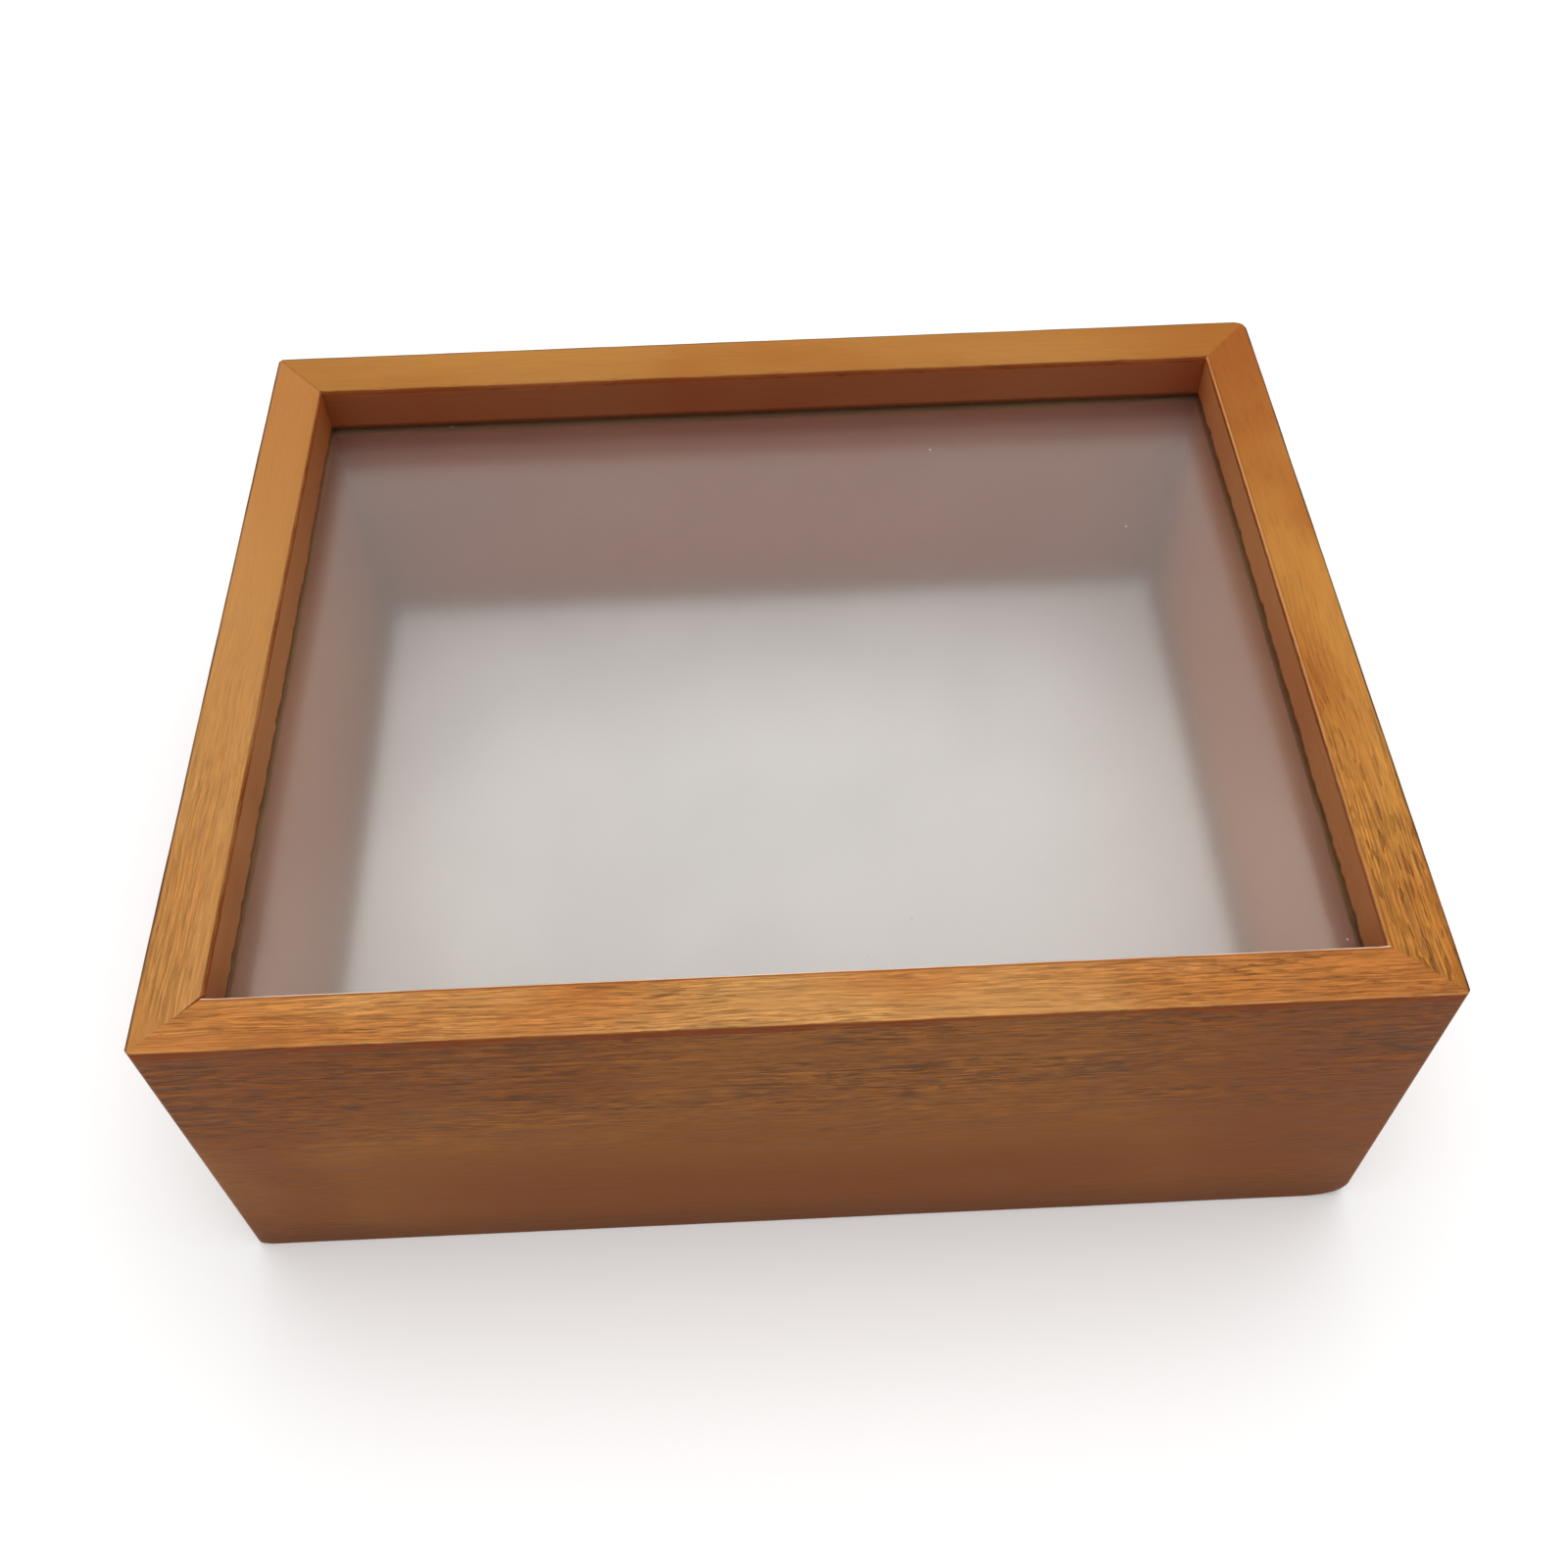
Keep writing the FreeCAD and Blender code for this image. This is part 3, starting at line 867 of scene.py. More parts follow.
        # Painted shade: the outer faces darken over their lowest 14 mm, towards the floor.
        colour = g.blend(g.times(g.step(at.up, foot_shading), at.outside), colour, self.foot_shade)
        # Painted shade: below the film the inner faces are blended towards black, fading out across the
        # groove.
        unlit = Ramp(at.section.groove_floor, at.section.groove_top, 1.0 - self.light_kept_below_film, 0.0)
        return g.blend(g.times(g.step(at.up, unlit), at.inside), colour, BLACK)

    def _marks(self, g: Graph, at: WallPlaces, colour: object) -> object:
        """Dark stain along the arrises, a painted shadow at the groove's lip, painted shade in the inner
        corners, and arrises partly worn and partly painted highlight and shade.

        Args:
            g: the material's graph.
            at: the wall's places.
            colour: the colour so far.

        Returns:
            The marked colour.
        """
        stray_reach, corner_shade_share = 0.5 * MM, 0.6
        wander = self._streaks(g, self.wander)
        ragged = self._streaks(g, self.ragged)
        stray = g.times(g.minus(ragged, 0.5), stray_reach)
        # Painted shade in the inner corners, in the seams' dark colour.
        corner_shade = g.times(at.cornered, g.step(wander, Ramp(0.30, 0.60, 0.25, 0.75)))
        colour = g.blend(g.times(corner_shade, corner_shade_share), colour, self.seam_stain_and_shade)
        colour = g.blend(self._seams(g, at, wander, stray), colour, self.seam_stain_and_shade)
        # Painted shadow along the gap above the film.
        colour = g.blend(self._groove_shadow_line(g, at, stray), colour, self.lip)
        return self._brinks(g, at, wander, colour)

    def _seams(self, g: Graph, at: WallPlaces, wander: object, stray: object) -> object:
        """Dark lines of stain just below the rim, inside and out.

        Args:
            g: the material's graph.
            at: the wall's places.
            wander: a slow noise that breaks the lines up.
            stray: how far the lines stray up and down.

        Returns:
            How strongly they show.
        """
        outer_line = Line(0.9 * MM, 0.42 * MM)
        inner_line = Line(0.75 * MM, 0.35 * MM)
        drip_line = Line(1.7 * MM, 0.5 * MM)
        below = g.plus(at.below, stray)
        drips = g.times(at.line(below, drip_line), g.step(wander, Ramp(0.42, 0.60)))
        outer = g.times(g.larger(at.line(below, outer_line), drips), at.outside)
        inner = g.times(at.line(below, inner_line.moved(at.section.rim_fall)), at.inside)
        return g.times(g.larger(outer, inner), g.step(wander, Ramp(0.32, 0.60, 0.60, 0.95)))

    def _groove_shadow_line(self, g: Graph, at: WallPlaces, stray: object) -> object:
        """A painted shadow line on the groove's upper lip, where the gap above the film lies in shade.

        Args:
            g: the material's graph.
            at: the wall's places.
            stray: how far the line strays up and down.

        Returns:
            How strongly it shows.
        """
        fading = Ramp(0.35 * MM, 0.95 * MM, 0.85, 0.0)
        starting = Ramp(-0.6 * MM, -0.4 * MM)
        above = g.minus(g.minus(at.up, at.section.groove_top), stray)
        return g.times(g.times(g.step(above, fading), g.step(above, starting)), at.inside)

    def _brinks(self, g: Graph, at: WallPlaces, wander: object, colour: object) -> object:
        """Colour along both arrises of the rim, with a thin dark line beside each: pale arrises are partly
        wear and partly painted highlight, the darkest outer ones painted shade.

        Args:
            g: the material's graph.
            at: the wall's places.
            wander: a slow noise that breaks the lines up.
            colour: the colour so far.

        Returns:
            The colour with its arrises, partly worn and partly painted highlight and shade.
        """
        edge = Ramp(0.7, 1.3, 1.0, 0.0)
        side_line = Line(0.22 * MM, 0.15 * MM)
        patchy = g.step(wander, Ramp(0.36, 0.62, 0.55, 1.0))
        inset = g.minus(at.section.thickness, at.depth)
        for brink, away in ((self.outer_brink, at.depth), (self.inner_brink, inset)):
            # Pale brinks are partly wear and partly painted highlight; the darkest outer ones are painted
            # shade.
            worn = g.times(g.step(away, edge.over(brink.width)), at.rim)
            worn = g.times(worn, g.times(patchy, brink.share))
            line = g.times(at.line(away, side_line.moved(brink.width)), at.rim)
            colour = g.blend(g.times(line, brink.beside), colour, self.seam_stain_and_shade)
            colour = g.blend(worn, colour, brink.colour)
        return colour


@dataclass(frozen=True)
class HazyFilm:
    """A milky protective film that blurs what lies behind it."""

    name: str
    roughness: float
    milk: float
    gloss: float
    tint: Colour = (0.885, 0.876, 0.868)
    glow: Colour = (1.0, 0.90, 0.76)
    refraction: float = 1.45
    dust_spacing: float = 11 * MM
    speck_edge: tuple[float, float] = (0.012, 0.022)
    speck_clear: float = 0.65
    ripples: float = 60.0
    ripple_depth: float = 0.02 * MM
    ripple_strength: float = 0.1

    def material(self) -> bpy.types.Material:
        """Build the film's material, which lets lamps and diffuse light straight through.

        Returns:
            The material.
        """
        g = Graph(self.name)
        dust = g.cells(g.place((self.dust_spacing,) * 3))
        ripples = g.noise(g.place(), self.ripples, 1.0)
        sheet = g.principled(
            Base_Color=self.tint,
            Roughness=self.roughness,
            IOR=self.refraction,
            Specular_Tint=tuple(self.gloss * level for level in self.glow),
            Transmission_Weight=g.step(dust, Ramp(*self.speck_edge, self.speck_clear, 1.0 - self.milk)),
            Normal=g.bump(ripples, self.ripple_depth, self.ripple_strength),
        )
        single_pass = tuple(level**0.5 for level in self.tint)
        return g.finish(g.see_through(single_pass, sheet))


@dataclass(frozen=True)
class ClearAcrylic:
    """Cast acrylic sheet."""

    name: str
    tint: Colour = (0.985, 0.99, 0.985)
    refraction: float = 1.49
    smears: float = 60.0
    polish: Ramp = Ramp(0.3, 0.7, 0.0, 0.04)

    def material(self) -> bpy.types.Material:
        """Build the sheet's material.

        Returns:
            The material.
        """
        g = Graph(self.name)
        body = g.principled(
            Base_Color=self.tint,
            Roughness=g.step(g.noise(g.place(), self.smears), self.polish),
            IOR=self.refraction,
            Specular_Tint=BLACK,
            Transmission_Weight=1.0,
        )
        return g.finish(g.see_through(self.tint, body))


@dataclass(frozen=True)
class PinningFoam:
    """Fine closed-cell foam, white and matt."""

    name: str
    colour: Colour = (0.84, 0.865, 0.90)
    shade: float = 0.93
    # Painted shade in the foam's pits.
    pit_shade: Colour = (0.59, 0.60, 0.62)
    pit_spacing: float = 0.6 * MM
    pitted: Ramp = Ramp(0.05, 0.25, 0.18, 0.0)
    clouds: float = 35.0
    lighter: Ramp = Ramp(0.35, 0.65)
    sheen: Ramp = Ramp(0.3, 0.7, 0.82, 0.95)
    gloss: float = 0.25
    pit_depth: float = 0.05 * MM
    pit_strength: float = 0.5

    def material(self) -> bpy.types.Material:
        """Build the foam's material.

        Returns:
            The material.
        """
        g = Graph(self.name)
        pits = g.cells(g.place((self.pit_spacing,) * 3))
        tone = g.noise(g.place(), self.clouds, 3.0)
        shaded = tuple(level * self.shade for level in self.colour)
        colour = g.blend(g.step(tone, self.lighter), shaded, self.colour)
        # The pits are darkened with painted shade.
        shader = g.principled(
            Base_Color=g.blend(g.step(pits, self.pitted), colour, self.pit_shade),
            Roughness=g.step(tone, self.sheen),
            Specular_IOR_Level=self.gloss,
            Normal=g.bump(pits, self.pit_depth, self.pit_strength),
        )
        return g.finish(shader)


@dataclass(frozen=True)
class PressedFibre:
    """Thin brown fibreboard, smooth on its faces."""

    name: str
    light: Colour = (0.36, 0.21, 0.11)
    dark: Colour = (0.20, 0.105, 0.05)
    blotch: Colour = (0.30, 0.155, 0.075)
    flake: Point = (1.6 * MM, 0.8 * MM, 0.8 * MM)
    lighter: Ramp = Ramp(0.35, 0.65)
    blotches: float = 28.0
    blotched: Ramp = Ramp(0.40, 0.65, 0.0, 0.45)
    sheen: Ramp = Ramp(0.3, 0.7, 0.58, 0.78)
    relief_depth: float = 0.04 * MM
    relief_strength: float = 0.6

    def material(self) -> bpy.types.Material:
        """Build the board's material.

        Returns:
            The material.
        """
        g = Graph(self.name)
        flakes = g.noise(g.place(self.flake), detail=4.0, rough=0.65, warp=0.8)
        blotches = g.noise(g.place(), self.blotches, 3.0)
        colour = g.blend(g.step(flakes, self.lighter), self.dark, self.light)
        shader = g.principled(
            Base_Color=g.blend(g.step(blotches, self.blotched), colour, self.blotch),
            Roughness=g.step(flakes, self.sheen),
            Normal=g.bump(flakes, self.relief_depth, self.relief_strength),
        )
        return g.finish(shader)


@dataclass(frozen=True)
class Metal:
    """A pressed or drawn metal, with fine scratches and dull patches."""

    name: str
    colour: Colour
    dull: Colour
    roughness: float
    scratch: Point = (4 * MM, 0.12 * MM, 0.12 * MM)
    scratch_turn: float = 20.0
    scratch_depth: float = 0.01 * MM
    scratch_strength: float = 0.5
    polish: float = 0.07
    scuff: float = 0.12
    patches: float = 450.0
    dulled: Ramp = Ramp(0.42, 0.68, 0.0, 0.8)

    def material(self) -> bpy.types.Material:
        """Build the metal's material.

        Returns:
            The material.
        """
        g = Graph(self.name)
        scratches = g.noise(g.place(self.scratch, self.scratch_turn), detail=3.0, rough=0.6, warp=0.3)
        patches = g.noise(g.place(), self.patches, 3.0, 0.6)
        sheen = Ramp(0.3, 0.7, self.roughness - self.polish, self.roughness + self.scuff)
        shader = g.principled(
            Base_Color=g.blend(g.step(patches, self.dulled), self.colour, self.dull),
            Metallic=1.0,
            Roughness=g.step(scratches, sheen),
            Normal=g.bump(scratches, self.scratch_depth, self.scratch_strength),
        )
        return g.finish(shader)


# ---------------------------------------------------------------- sub-assemblies


@dataclass(frozen=True)
class End:
    """One mitred end of a wall: its outer corner's round and how far its joint has opened."""

    radius: float = 1.5 * MM
    foot_round: float = 0.0
    hairline: float = 0.0
    opening: float = 0.0
    reach: float = 4.5 * MM


@dataclass(frozen=True)
class Wear:
    """How deep a noise wears a surface, and how large its lumps are."""

    depth: float
    grain: float


@dataclass
class Wall:
    """One side board of the box, modelled as the front wall and turned into its place."""

    node: str
    half_run: float
    half_span: float
    turn: float
    finish: VarnishedWood
    section: Section
    ends: tuple[End, End]
    lip_wear: float
    arris_wear: float
    arris_grain: float = 2.5 * MM
    edge_wear: Wear = Wear(0.10 * MM, 9 * MM)
    face_wear: Wear = Wear(0.08 * MM, 30 * MM)
    worn_arris: float = 1.4
    lip_seed: int = 7
    corner_facets: int = 6
    arris_facets: int = 3
    foot_turns: tuple[float, ...] = (15, 37, 53, 75)
    foot_rises: tuple[float, ...] = (20, 40, 60, 78)
    loop_gap: float = 0.3 * MM
    first_loop: float = 5 * MM
    loop_spacing: float = 8 * MM
    slices: int = 300
    mitre_margin: float = 1.0 * MM
    smooth_below: float = 38
    spare: float = 5.0 * MM

    @property
    def outer(self) -> float:
        """Where the outer face lies along Y."""
        return -self.half_span

    @property
    def inner(self) -> float:
        """Where the inner face lies along Y."""
        return self.section.thickness - self.half_span

    def build(self) -> None:
        """Model the wall, dress it and let it ride on the frame."""
        piece = self._board()
        enter_edit()
        self._rim()
        self._rabbet_and_kerf(piece)
        self._groove(piece)
        for side, end in zip((-1, 1), self.ends):
            self._mitre(side, end)
        self._ease(piece)
        for side, end in zip((-1, 1), self.ends):
            self._round_foot(side, end.foot_round)
        self._divide(piece)
        self._wear(piece)
        leave_edit()
        inner_wear = Wear(self.arris_wear, self.arris_grain)
        for group, wear in (("inner_arris", inner_wear), ("edge", self.edge_wear), ("face", self.face_wear)):
            ripple(piece, f"{self.node}_{group}", wear.depth, wear.grain, group)
        piece.rotation_euler.z = math.radians(self.turn)
        bpy.ops.object.transform_apply(location=True, rotation=True, scale=True)
        smooth_by_angle(self.smooth_below)
        dress(piece, self.finish.material(self.section, self.half_run, self.half_span))
        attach(piece, FRAME_BODY)
        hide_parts(self.node)
        LOG.info("built %s", self.node)

    def _board(self) -> bpy.types.Object:
        """The plain board above the rabbet, longer and a little taller than the wall.

        Returns:
            The board.
        """
        end = self.half_run + self.spare
        return add_block(
            self.node + "_board",
            (-end, self.outer, self.section.rabbet_top),
            (end, self.inner, self.section.crest + self.spare),
        )

    def _rim(self) -> None:
        """Plane the rim so that it falls a little towards the panel."""
        fall = (0, self.section.rim_fall, self.section.thickness)
        slice_mesh((0, self.outer, self.section.crest), fall, cut_off=True)

    def _rabbet_and_kerf(self, piece: bpy.types.Object) -> None:
        """Draw the foot down beside the rabbet and sink the kerf into it.

        Args:
            piece: the board, in edit mode.
        """
        section = self.section
        side = self.inner - section.rabbet_width
        slice_mesh((0, side, 0), (0, 1, 0))
        select_faces(piece, lambda at, way: way.z < -FACING and at.y < side)
        extrude_by((0, 0, -section.rabbet_top))
        self._sink(piece, section.kerf_floor, section.kerf_top, section.kerf_depth)

    def _groove(self, piece: bpy.types.Object) -> None:
        """Sink the panel's groove into the inner face."""
        self._sink(piece, self.section.groove_floor, self.section.groove_top, self.section.groove_depth)

    @staticmethod
    def _sink(piece: bpy.types.Object, floor: float, top: float, depth: float) -> None:
        """Sink a level slot into the faces that look inwards.

        Args:
            piece: the board, in edit mode.
            floor: how high the slot starts.
            top: how high it ends.
            depth: how deep it is.
        """
        slice_level(floor, top)
        select_faces(piece, lambda at, way: way.y > FACING and floor < at.z < top)
        extrude_by((0, -depth, 0))

    def _mitre(self, side: int, end: End) -> None:
        """Cut one mitre, open its joint where it has opened, and round the outer corner.

        Args:
            side: -1 or 1, the end's side along X.
            end: the end's sizes.
        """
        half = math.sqrt(0.5)
        away = Vector((side * half, half, 0))
        corner = Vector((side * self.half_run, self.outer, 0)) - away * end.hairline
        slice_mesh(corner, away, cut_off=True)
        if end.opening > 0:
            inward = Vector((-side * half, half, 0))
            start = self.section.thickness / half - end.reach
            opened = away * end.reach + inward * end.opening
            slice_mesh(corner + inward * start, opened.normalized(), cut_off=True)
        centre = Vector((side * (self.half_run - end.radius), self.outer + end.radius, 0))
        for number in range(1, self.corner_facets + 1):
            angle = math.radians(45) * number / self.corner_facets
            way = Vector((side * math.sin(angle), -math.cos(angle), 0))
            slice_mesh(centre + way * end.radius, way, cut_off=True)

    def _round_foot(self, side: int, radius: float) -> None:
        """Round one lower corner to a ball, where the foot has been rubbed away.

        Args:
            side: -1 or 1, the corner's side along X.
            radius: the ball's radius, or 0 for a foot that is left sharp.
        """
        if radius == 0:
            return
        centre = Vector((side * (self.half_run - radius), self.outer + radius, radius))
        for turn in map(math.radians, self.foot_turns):
            for rise in map(math.radians, self.foot_rises):
                way = Vector((side * math.cos(turn), -math.sin(turn), 0)) * math.sin(rise)
                way.z = -math.cos(rise)
                slice_mesh(centre + way * radius, way, cut_off=True)

    def _ease(self, piece: bpy.types.Object) -> None:
        """Round the arrises of the rim and the foot, with a loop beside each round.

        Args:
            piece: the board, in edit mode.
        """
        section = self.section
        straight = NEAR * NEAR

        def on_rim(point: Vector) -> bool:
            """Whether a point lies on the falling rim."""
            fall = section.slope * (point.y - self.outer)
            return abs(section.crest - fall - point.z) < NEAR

        def arris(first: Vector, second: Vector) -> bool:
            """Whether an edge is an arris of the rim or of the foot's outer side.

            Args:
                first: the edge's one end.
                second: its other end.

            Returns:
                True for such an arris, and False for the mitre's own edges.
            """
            run = second - first
            on_mitre = run.x * run.y * (first.x + second.x) < -straight
            rim = on_rim(first) and on_rim(second)
            foot = first.z < NEAR and second.z < NEAR
            inner_foot = first.y > self.inner - section.rabbet_width - NEAR
            return not on_mitre and (rim or (foot and not inner_foot))

        select_edges(piece, arris)
        bevel_selected(section.arris, self.arris_facets)
        beside = section.arris + self.loop_gap
        slice_mesh((0, self.outer + beside, 0), (0, 1, 0))
        slice_mesh((0, self.inner - beside, 0), (0, 1, 0))
        inner_crest = section.crest - section.rim_fall
        slice_level(section.crest - beside, inner_crest - beside, inner_crest - 2 * beside, beside)

    def _divide(self, piece: bpy.types.Object) -> None:
        """Divide the board finely along its run and over its height.

        Args:
            piece: the board, in edit mode.
        """
        level = self.section.rabbet_top + self.first_loop
        while level < self.section.groove_floor:
            slice_level(level)
            level += self.loop_spacing
        select_edges(
            piece,
            lambda first, second: abs(first.x - second.x) > self.half_run
            and abs(first.y - second.y) < NEAR
            and abs(first.z - second.z) < NEAR,
        )
        bpy.ops.mesh.subdivide(number_cuts=self.slices)

    def _free(self, at: Vector) -> bool:
        """Whether a point lies clear of the mitres, where two walls have to meet."""
        return self.half_run - abs(at.x) - (at.y - self.outer) > self.mitre_margin

    def _wear(self, piece: bpy.types.Object) -> None:
        """Mark the parts that wear, and chip the groove's upper lip.

        Args:
            piece: the board, in edit mode.
        """
        section = self.section
        near = self.worn_arris * section.arris
        outer_rim = section.crest - near
        inner_rim = section.crest - section.rim_fall - near
        worn = {
            "face": lambda at: True,
            "edge": lambda at: at.z > outer_rim and at.y < self.outer + near,
            "inner_arris": lambda at: at.z > inner_rim and at.y > self.inner - near,
        }
        for group, holds in worn.items():
            select_points(piece, lambda at: self._free(at) and holds(at))
            group_selected(piece, group)
        if self.lip_wear > 0:
            select_points(
                piece,
                lambda at: self._free(at)
                and abs(at.z - section.groove_top) < NEAR
                and abs(at.y - self.inner) < NEAR,
            )
            bpy.ops.transform.vertex_random(
                offset=self.lip_wear, uniform=0.0, normal=0.0, seed=self.lip_seed
            )


@dataclass
class WoodenFrame:
    """The four mitred walls and the nails that hold their corners."""

    half_length: float
    half_depth: float
    height: float
    thickness: float
    groove_slack: float = 1.0 * MM
    kerf_clearance: float = 0.4 * MM

    def build(self) -> None:
        """Model and dress the four walls and dress the nails."""
        section = Section(
            thickness=self.thickness,
            height=self.height,
            groove_floor=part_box("inner_film")[0].z,
            groove_top=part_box("outer_film")[1].z + self.groove_slack,
            rabbet_top=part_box("back_board")[1].z,
            kerf_floor=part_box("turn_button_front_left")[0].z - self.kerf_clearance,
            kerf_top=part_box("turn_button_front_left")[1].z + self.kerf_clearance,
        )
        for node, turn, finish, ends, lip_wear, arris_wear in self._walls():
            along_x = finish.grain is Grain.ALONG_X
            Wall(
                node=node,
                half_run=self.half_length if along_x else self.half_depth,
                half_span=self.half_depth if along_x else self.half_length,
                turn=turn,
                finish=finish,
                section=section,
                ends=ends,
                lip_wear=lip_wear,
                arris_wear=arris_wear,
            ).build()
        steel = Metal("nail_steel", (0.42, 0.42, 0.43), (0.24, 0.22, 0.2), 0.42).material()
        for corner in ("front_left", "front_right", "rear_left", "rear_right"):
            dress(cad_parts["mitre_nail_" + corner], steel)
        LOG.info("dressed the mitre nails")

    @staticmethod
    def _walls() -> Iterable[tuple[str, float, VarnishedWood, tuple[End, End], float, float]]:
        """The four walls' own looks and wear.

        Returns:
            Each wall's node, turn, finish, ends, lip wear and inner arris wear.
        """
        face = Tones((0.385, 0.142, 0.030), (0.320, 0.110, 0.021), (0.255, 0.070, 0.009))
        rear_inner = Tones((0.41, 0.125, 0.048), (0.35, 0.098, 0.036), (0.36, 0.084, 0.030))
        # The side walls' inner faces get lighter copies of the inner stain, the right one lightest: painted
        # light.
        lit_left_inner = Tones((0.70, 0.275, 0.090), (0.62, 0.225, 0.070), (0.45, 0.130, 0.034))
        lit_right_inner = Tones((0.80, 0.310, 0.110), (0.72, 0.260, 0.090), (0.70, 0.230, 0.075))
        # Pale arris colour: partly wear, partly a painted highlight.
        pale = (0.66, 0.35, 0.13)
        dark_arris = Brink((0.14, 0.032, 0.006), 0.46 * MM, 0.8)
        # Darkest outer arrises: painted shade where the round turns away from the light.
        shaded_outer_arris = Brink((0.05, 0.018, 0.006), 0.50 * MM, 0.9)
        front = VarnishedWood(
            name="front_wall_wood",
            grain=Grain.ALONG_X,
            shift=(0.31, 0.02, 0.013),
            edge=Tones((0.56, 0.285, 0.092), (0.46, 0.195, 0.046), (0.41, 0.132, 0.022)),
            face=face,
            inner=rear_inner,
            outer_brink=Brink(pale, 0.45 * MM, 0.3),
            # Near-white inner arris of the front wall: a painted highlight.
            inner_brink=Brink((0.92, 0.74, 0.58), 0.38 * MM, 1.0, 0.75),
            pore_share=0.55,
            ruddier=Ramp(35 * MM, 85 * MM, high=0.9),
        )
        right = VarnishedWood(
            name="right_wall_wood",
            grain=Grain.ALONG_Y,
            shift=(0.87, 0.41, 0.03),
            edge=Tones((0.49, 0.210, 0.038), (0.42, 0.160, 0.024), (0.31, 0.080, 0.007)),
            face=face,
            inner=lit_right_inner,
            outer_brink=shaded_outer_arris,
            inner_brink=Brink(pale, 0.36 * MM, 0.8, 0.35),
            pore_share=0.60,
            gouges=1.0,
            light_kept_below_film=0.78,
            ruddier=Ramp(5 * MM, 75 * MM, high=0.9),
        )
        rear = VarnishedWood(
            name="rear_wall_wood",
            grain=Grain.ALONG_X,
            shift=(1.42, 0.77, 0.05),
            edge=Tones((0.42, 0.180, 0.034), (0.37, 0.145, 0.023), (0.35, 0.115, 0.012)),
            face=face,
            inner=rear_inner,
            outer_brink=shaded_outer_arris,
            inner_brink=dark_arris,
            pore_share=0.3,
            ruddier=Ramp(55 * MM, 95 * MM, high=0.9),
        )
        left = VarnishedWood(
            name="left_wall_wood",
            grain=Grain.ALONG_Y,
            shift=(2.1, 1.13, 0.07),
            edge=Tones((0.48, 0.228, 0.064), (0.43, 0.188, 0.046), (0.43, 0.170, 0.038)),
            face=face,
            inner=lit_left_inner,
            outer_brink=shaded_outer_arris,
            inner_brink=dark_arris,
            pore_share=0.3,
            relief=0.7,
            light_kept_below_film=0.80,
            ruddier=Ramp(-5 * MM, 70 * MM, high=0.9),
        )
        blunt = End(foot_round=1.4 * MM)
        rubbed = End(foot_round=2.6 * MM)
        soft = End(radius=2.5 * MM)
        return (
            ("front_wall", 0.0, front, (blunt, rubbed), 0.0, 0.12 * MM),
            ("right_wall", 90.0, right, (rubbed, soft), 0.35 * MM, 0.14 * MM),
            ("rear_wall", 180.0, rear, (soft, End()), 0.0, 0.40 * MM),
            (
                "left_wall",
                270.0,
                left,
                (End(hairline=0.08 * MM), End(foot_round=1.4 * MM, opening=0.40 * MM)),
                0.30 * MM,
                0.30 * MM,
            ),
        )


@dataclass
class Glazing:
    """The clear panel and the film on each of its faces."""

    film_gap: float = 0.02 * MM
    columns: int = 48
    rows: int = 38
    smooth_below: float = 30

    def build(self) -> None:
        """Model the films and dress the panel."""
        dress(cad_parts["clear_panel"], ClearAcrylic("clear_acrylic").material())
        panel_low, panel_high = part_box("clear_panel")
        outer_low, outer_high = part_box("outer_film")
        inner_low, inner_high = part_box("inner_film")
        outer_low.z = panel_high.z + self.film_gap
        inner_high.z = panel_low.z - self.film_gap
        outer_haze = HazyFilm("outer_haze", roughness=0.17, milk=0.02, gloss=0.68)
        inner_haze = HazyFilm("inner_haze", roughness=0.08, milk=0.0, gloss=0.0)
        self._film("outer_film", outer_low, outer_high, outer_haze)
        self._film("inner_film", inner_low, inner_high, inner_haze)

    def _film(self, node: str, low: Vector, high: Vector, finish: HazyFilm) -> None:
        """Model one film as a finely divided sheet.

        Args:
            node: the CAD node that it replaces.
            low: its lowest corner.
            high: its highest corner.
            finish: its finish.
        """
        piece = add_block(node + "_sheet", low, high)
        enter_edit("EDGE")
        divide_sheet(piece, self.columns, self.rows)
        leave_edit()
        smooth_by_angle(self.smooth_below)
        dress(piece, finish.material())
        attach(piece, FRAME_BODY)
        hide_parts(node)
        LOG.info("built %s", node)


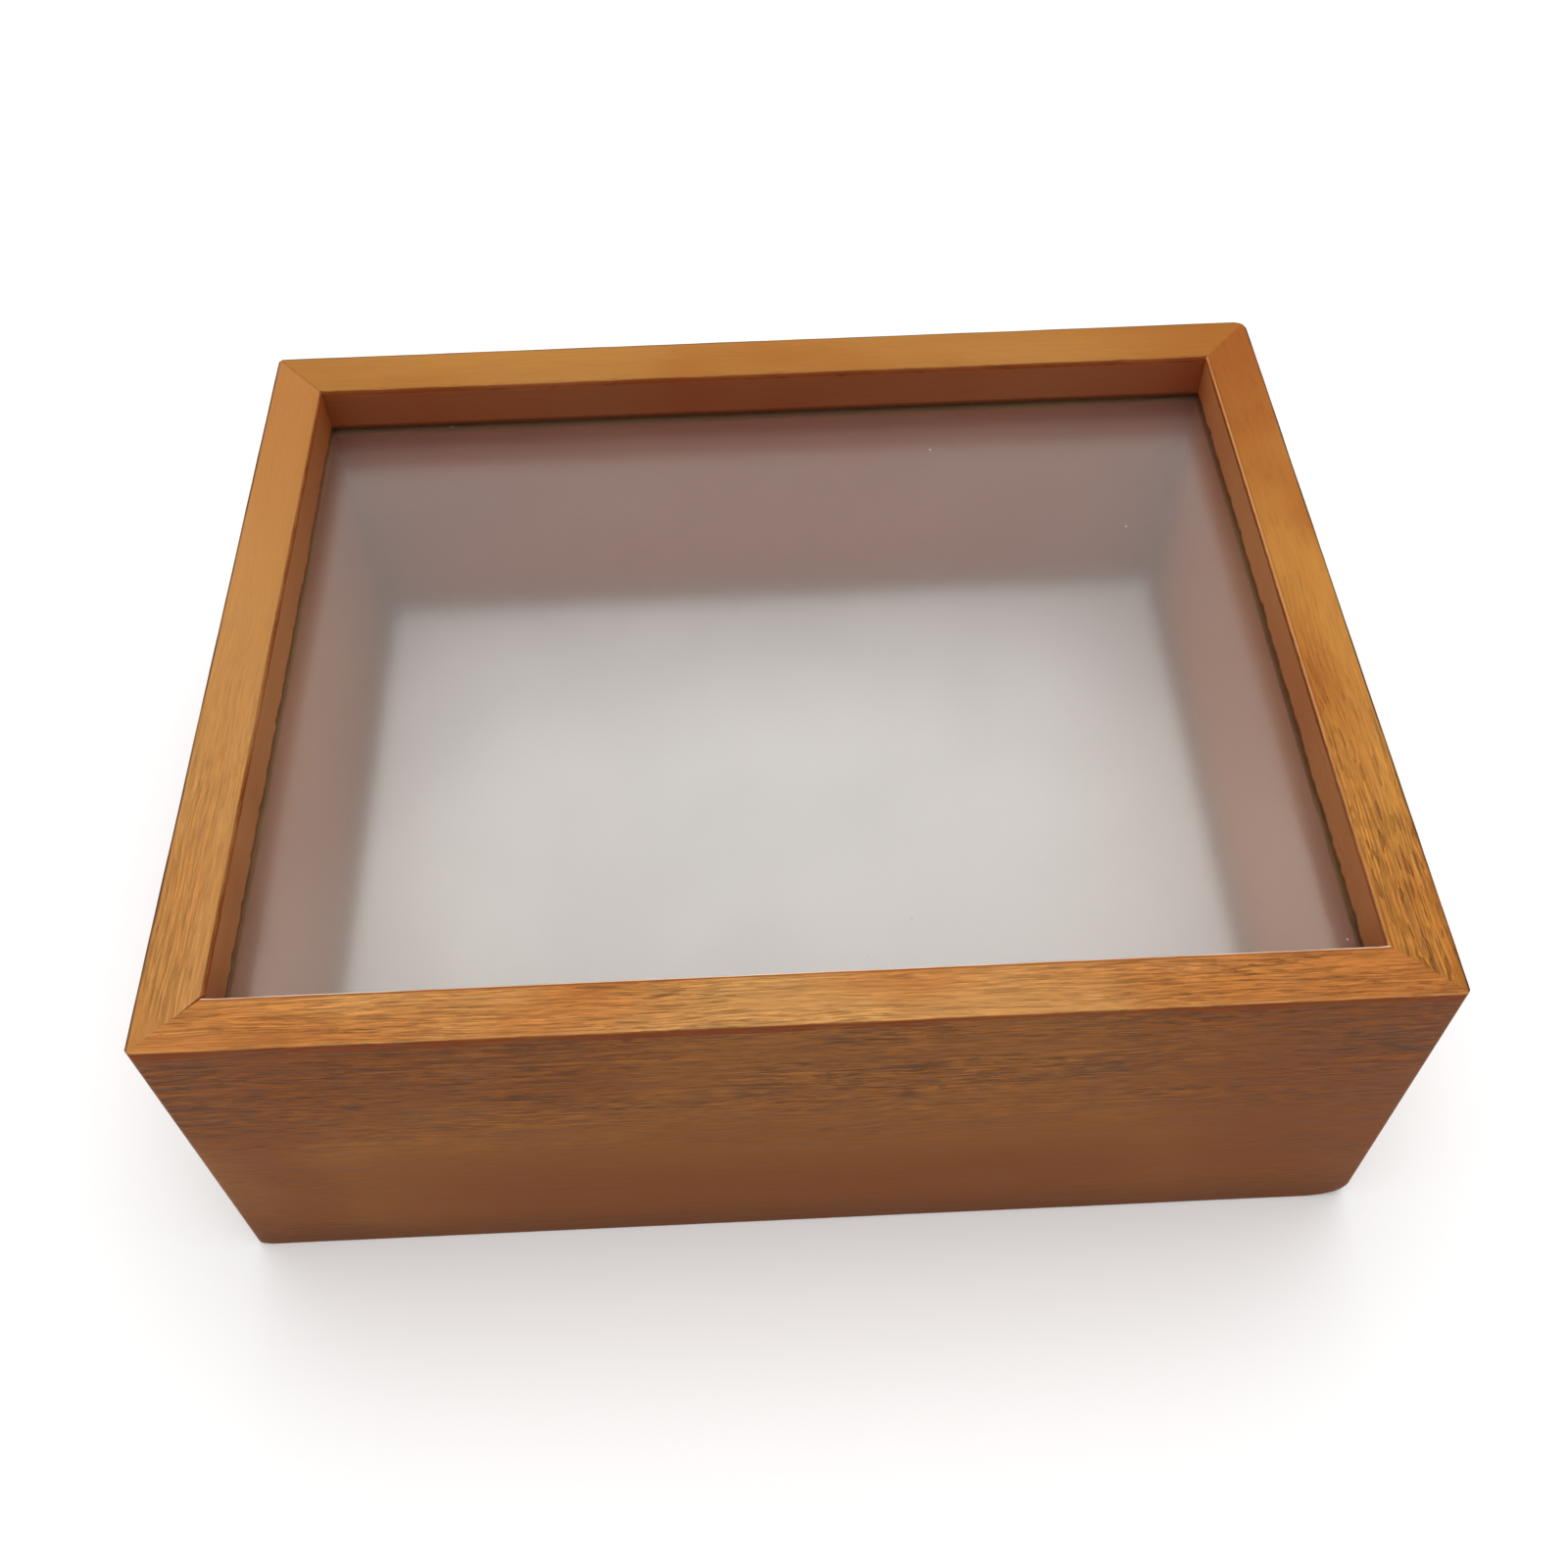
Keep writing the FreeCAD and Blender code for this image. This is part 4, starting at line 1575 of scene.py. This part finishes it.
@dataclass
class Back:
    """The back board with its pinning bed, turn buttons and hanger."""

    edge_round: float = 0.35 * MM
    edge_facets: int = 3
    top_reach: float = 1.1
    columns: int = 60
    rows: int = 46
    dents: Wear = Wear(0.15 * MM, 12 * MM)
    smooth_below: float = 40

    def build(self) -> None:
        """Model the bed and dress the board and its hardware."""
        self._bed()
        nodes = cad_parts
        dress(nodes["back_board"], PressedFibre("fibreboard").material())
        zinc = Metal("zinc_plate", (0.66, 0.67, 0.69), (0.48, 0.49, 0.51), 0.30).material()
        brass = Metal("rivet_brass", (0.78, 0.60, 0.30), (0.52, 0.37, 0.17), 0.28).material()
        for name, node in nodes.items():
            if name.startswith(("turn_button", "hanger_strap", "hanger_ring")):
                dress(node, zinc)
            elif "rivet" in name:
                dress(node, brass)
        LOG.info("dressed the back board and its hardware")

    def _bed(self) -> None:
        """Model the foam bed, with soft cut edges and a faintly uneven top."""
        low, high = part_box("foam_bed")
        piece = add_block("pinning_bed", low, high)
        enter_edit("EDGE")
        select_edges(piece, lambda first, second: min(first.z, second.z) > high.z - NEAR)
        bevel_selected(self.edge_round, self.edge_facets)
        divide_sheet(piece, self.columns, self.rows)
        select_points(piece, lambda at: at.z > high.z - self.edge_round * self.top_reach)
        group_selected(piece, "top")
        leave_edit()
        ripple(piece, "bed_top", self.dents.depth, self.dents.grain, "top")
        smooth_by_angle(self.smooth_below)
        dress(piece, PinningFoam("pinning_foam").material())
        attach(piece, BACK_BODY)
        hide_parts("foam_bed")
        LOG.info("built the pinning bed")


@dataclass(frozen=True)
class Lamp:
    """A round soft lamp that faces the case."""

    name: str
    place: Point
    size: float
    power: float

    def hang(self) -> None:
        """Add the lamp to the scene."""
        deselect_everything()
        bpy.ops.object.light_add(type="AREA", location=self.place)
        lamp = bpy.context.object
        lamp.name = self.name
        lamp.data.shape = "DISK"
        lamp.data.size = self.size
        lamp.data.energy = self.power
        aim = -Vector(self.place)
        lamp.rotation_euler = aim.to_track_quat("-Z", "Y").to_euler()


@dataclass
class Studio:
    """The pale floor, the soft lamps and the camera."""

    floor_size: float = 8.0
    floor_drop: float = 0.05 * MM
    sky: float = 0.50
    bounce: float = 0.36
    lamps: tuple[Lamp, ...] = (
        Lamp("key_lamp", (0.08, 0.35, 2.20), 2.6, 34.0),
        Lamp("front_lamp", (0.10, -1.30, 1.90), 2.2, 10.0),
    )
    camera_place: Point = (-0.00414, -0.19726, 0.28798)
    camera_turn: Point = (0.64757, 0.01552, -0.04209)
    lens: float = 37.523
    sensor: float = 36.0

    def build(self) -> None:
        """Set the whole studio up."""
        self._floor()
        self._sky()
        for lamp in self.lamps:
            lamp.hang()
        self._camera()
        bpy.context.scene.view_settings.view_transform = "Standard"
        LOG.info("set up the studio")

    def _floor(self) -> None:
        """Lay a plain floor, white to the eye and less bright as a source of bounced light."""
        deselect_everything()
        bpy.ops.mesh.primitive_plane_add(size=self.floor_size, location=(0, 0, -self.floor_drop))
        floor = bpy.context.object
        floor.name = "floor"
        g = Graph("pale_floor")
        paint = g.blend(g.any_ray(SEEN_RAYS), (self.bounce, self.bounce, self.bounce), WHITE)
        dress(floor, g.finish(g.node("BsdfDiffuse", Color=paint).outputs["BSDF"]))
        floor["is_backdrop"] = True

    def _sky(self) -> None:
        """A surround that is white to the eye and lights the scene softly."""
        g = Graph("surround", world=True)
        strength = g.step(g.any_ray(SEEN_RAYS), Ramp(0.0, 1.0, self.sky, 1.0))
        light = g.node("Background", Color=WHITE, Strength=strength)
        bpy.context.scene.world = g.finish(light.outputs["Background"])

    def _camera(self) -> None:
        """Stand the camera in front of the case, looking down on it."""
        camera = bpy.data.cameras.new("camera")
        camera.lens = self.lens
        camera.sensor_width = self.sensor
        stand = bpy.data.objects.new("camera", camera)
        bpy.context.scene.collection.objects.link(stand)
        stand.location = self.camera_place
        stand.rotation_euler = self.camera_turn
        bpy.context.scene.camera = stand


def as_list(bounds: Iterable[Iterable[float]]) -> list[list[float]]:
    """Corners as plain lists of numbers."""
    return [[float(level) for level in corner] for corner in bounds]


def main() -> None:
    """Build every sub-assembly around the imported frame, in order."""
    logging.basicConfig(level=logging.INFO, format="%(name)s: %(message)s")
    packed = as_list(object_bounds())
    low, high = Vector(packed[0]), Vector(packed[1])
    front_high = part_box("front_wall")[1]
    WoodenFrame(
        half_length=high.x,
        half_depth=high.y,
        height=high.z - HEIGHT_MARGIN,
        thickness=front_high.y - low.y,
    ).build()
    Glazing().build()
    Back().build()
    Studio().build()


if __name__ == "__main__":
    main()
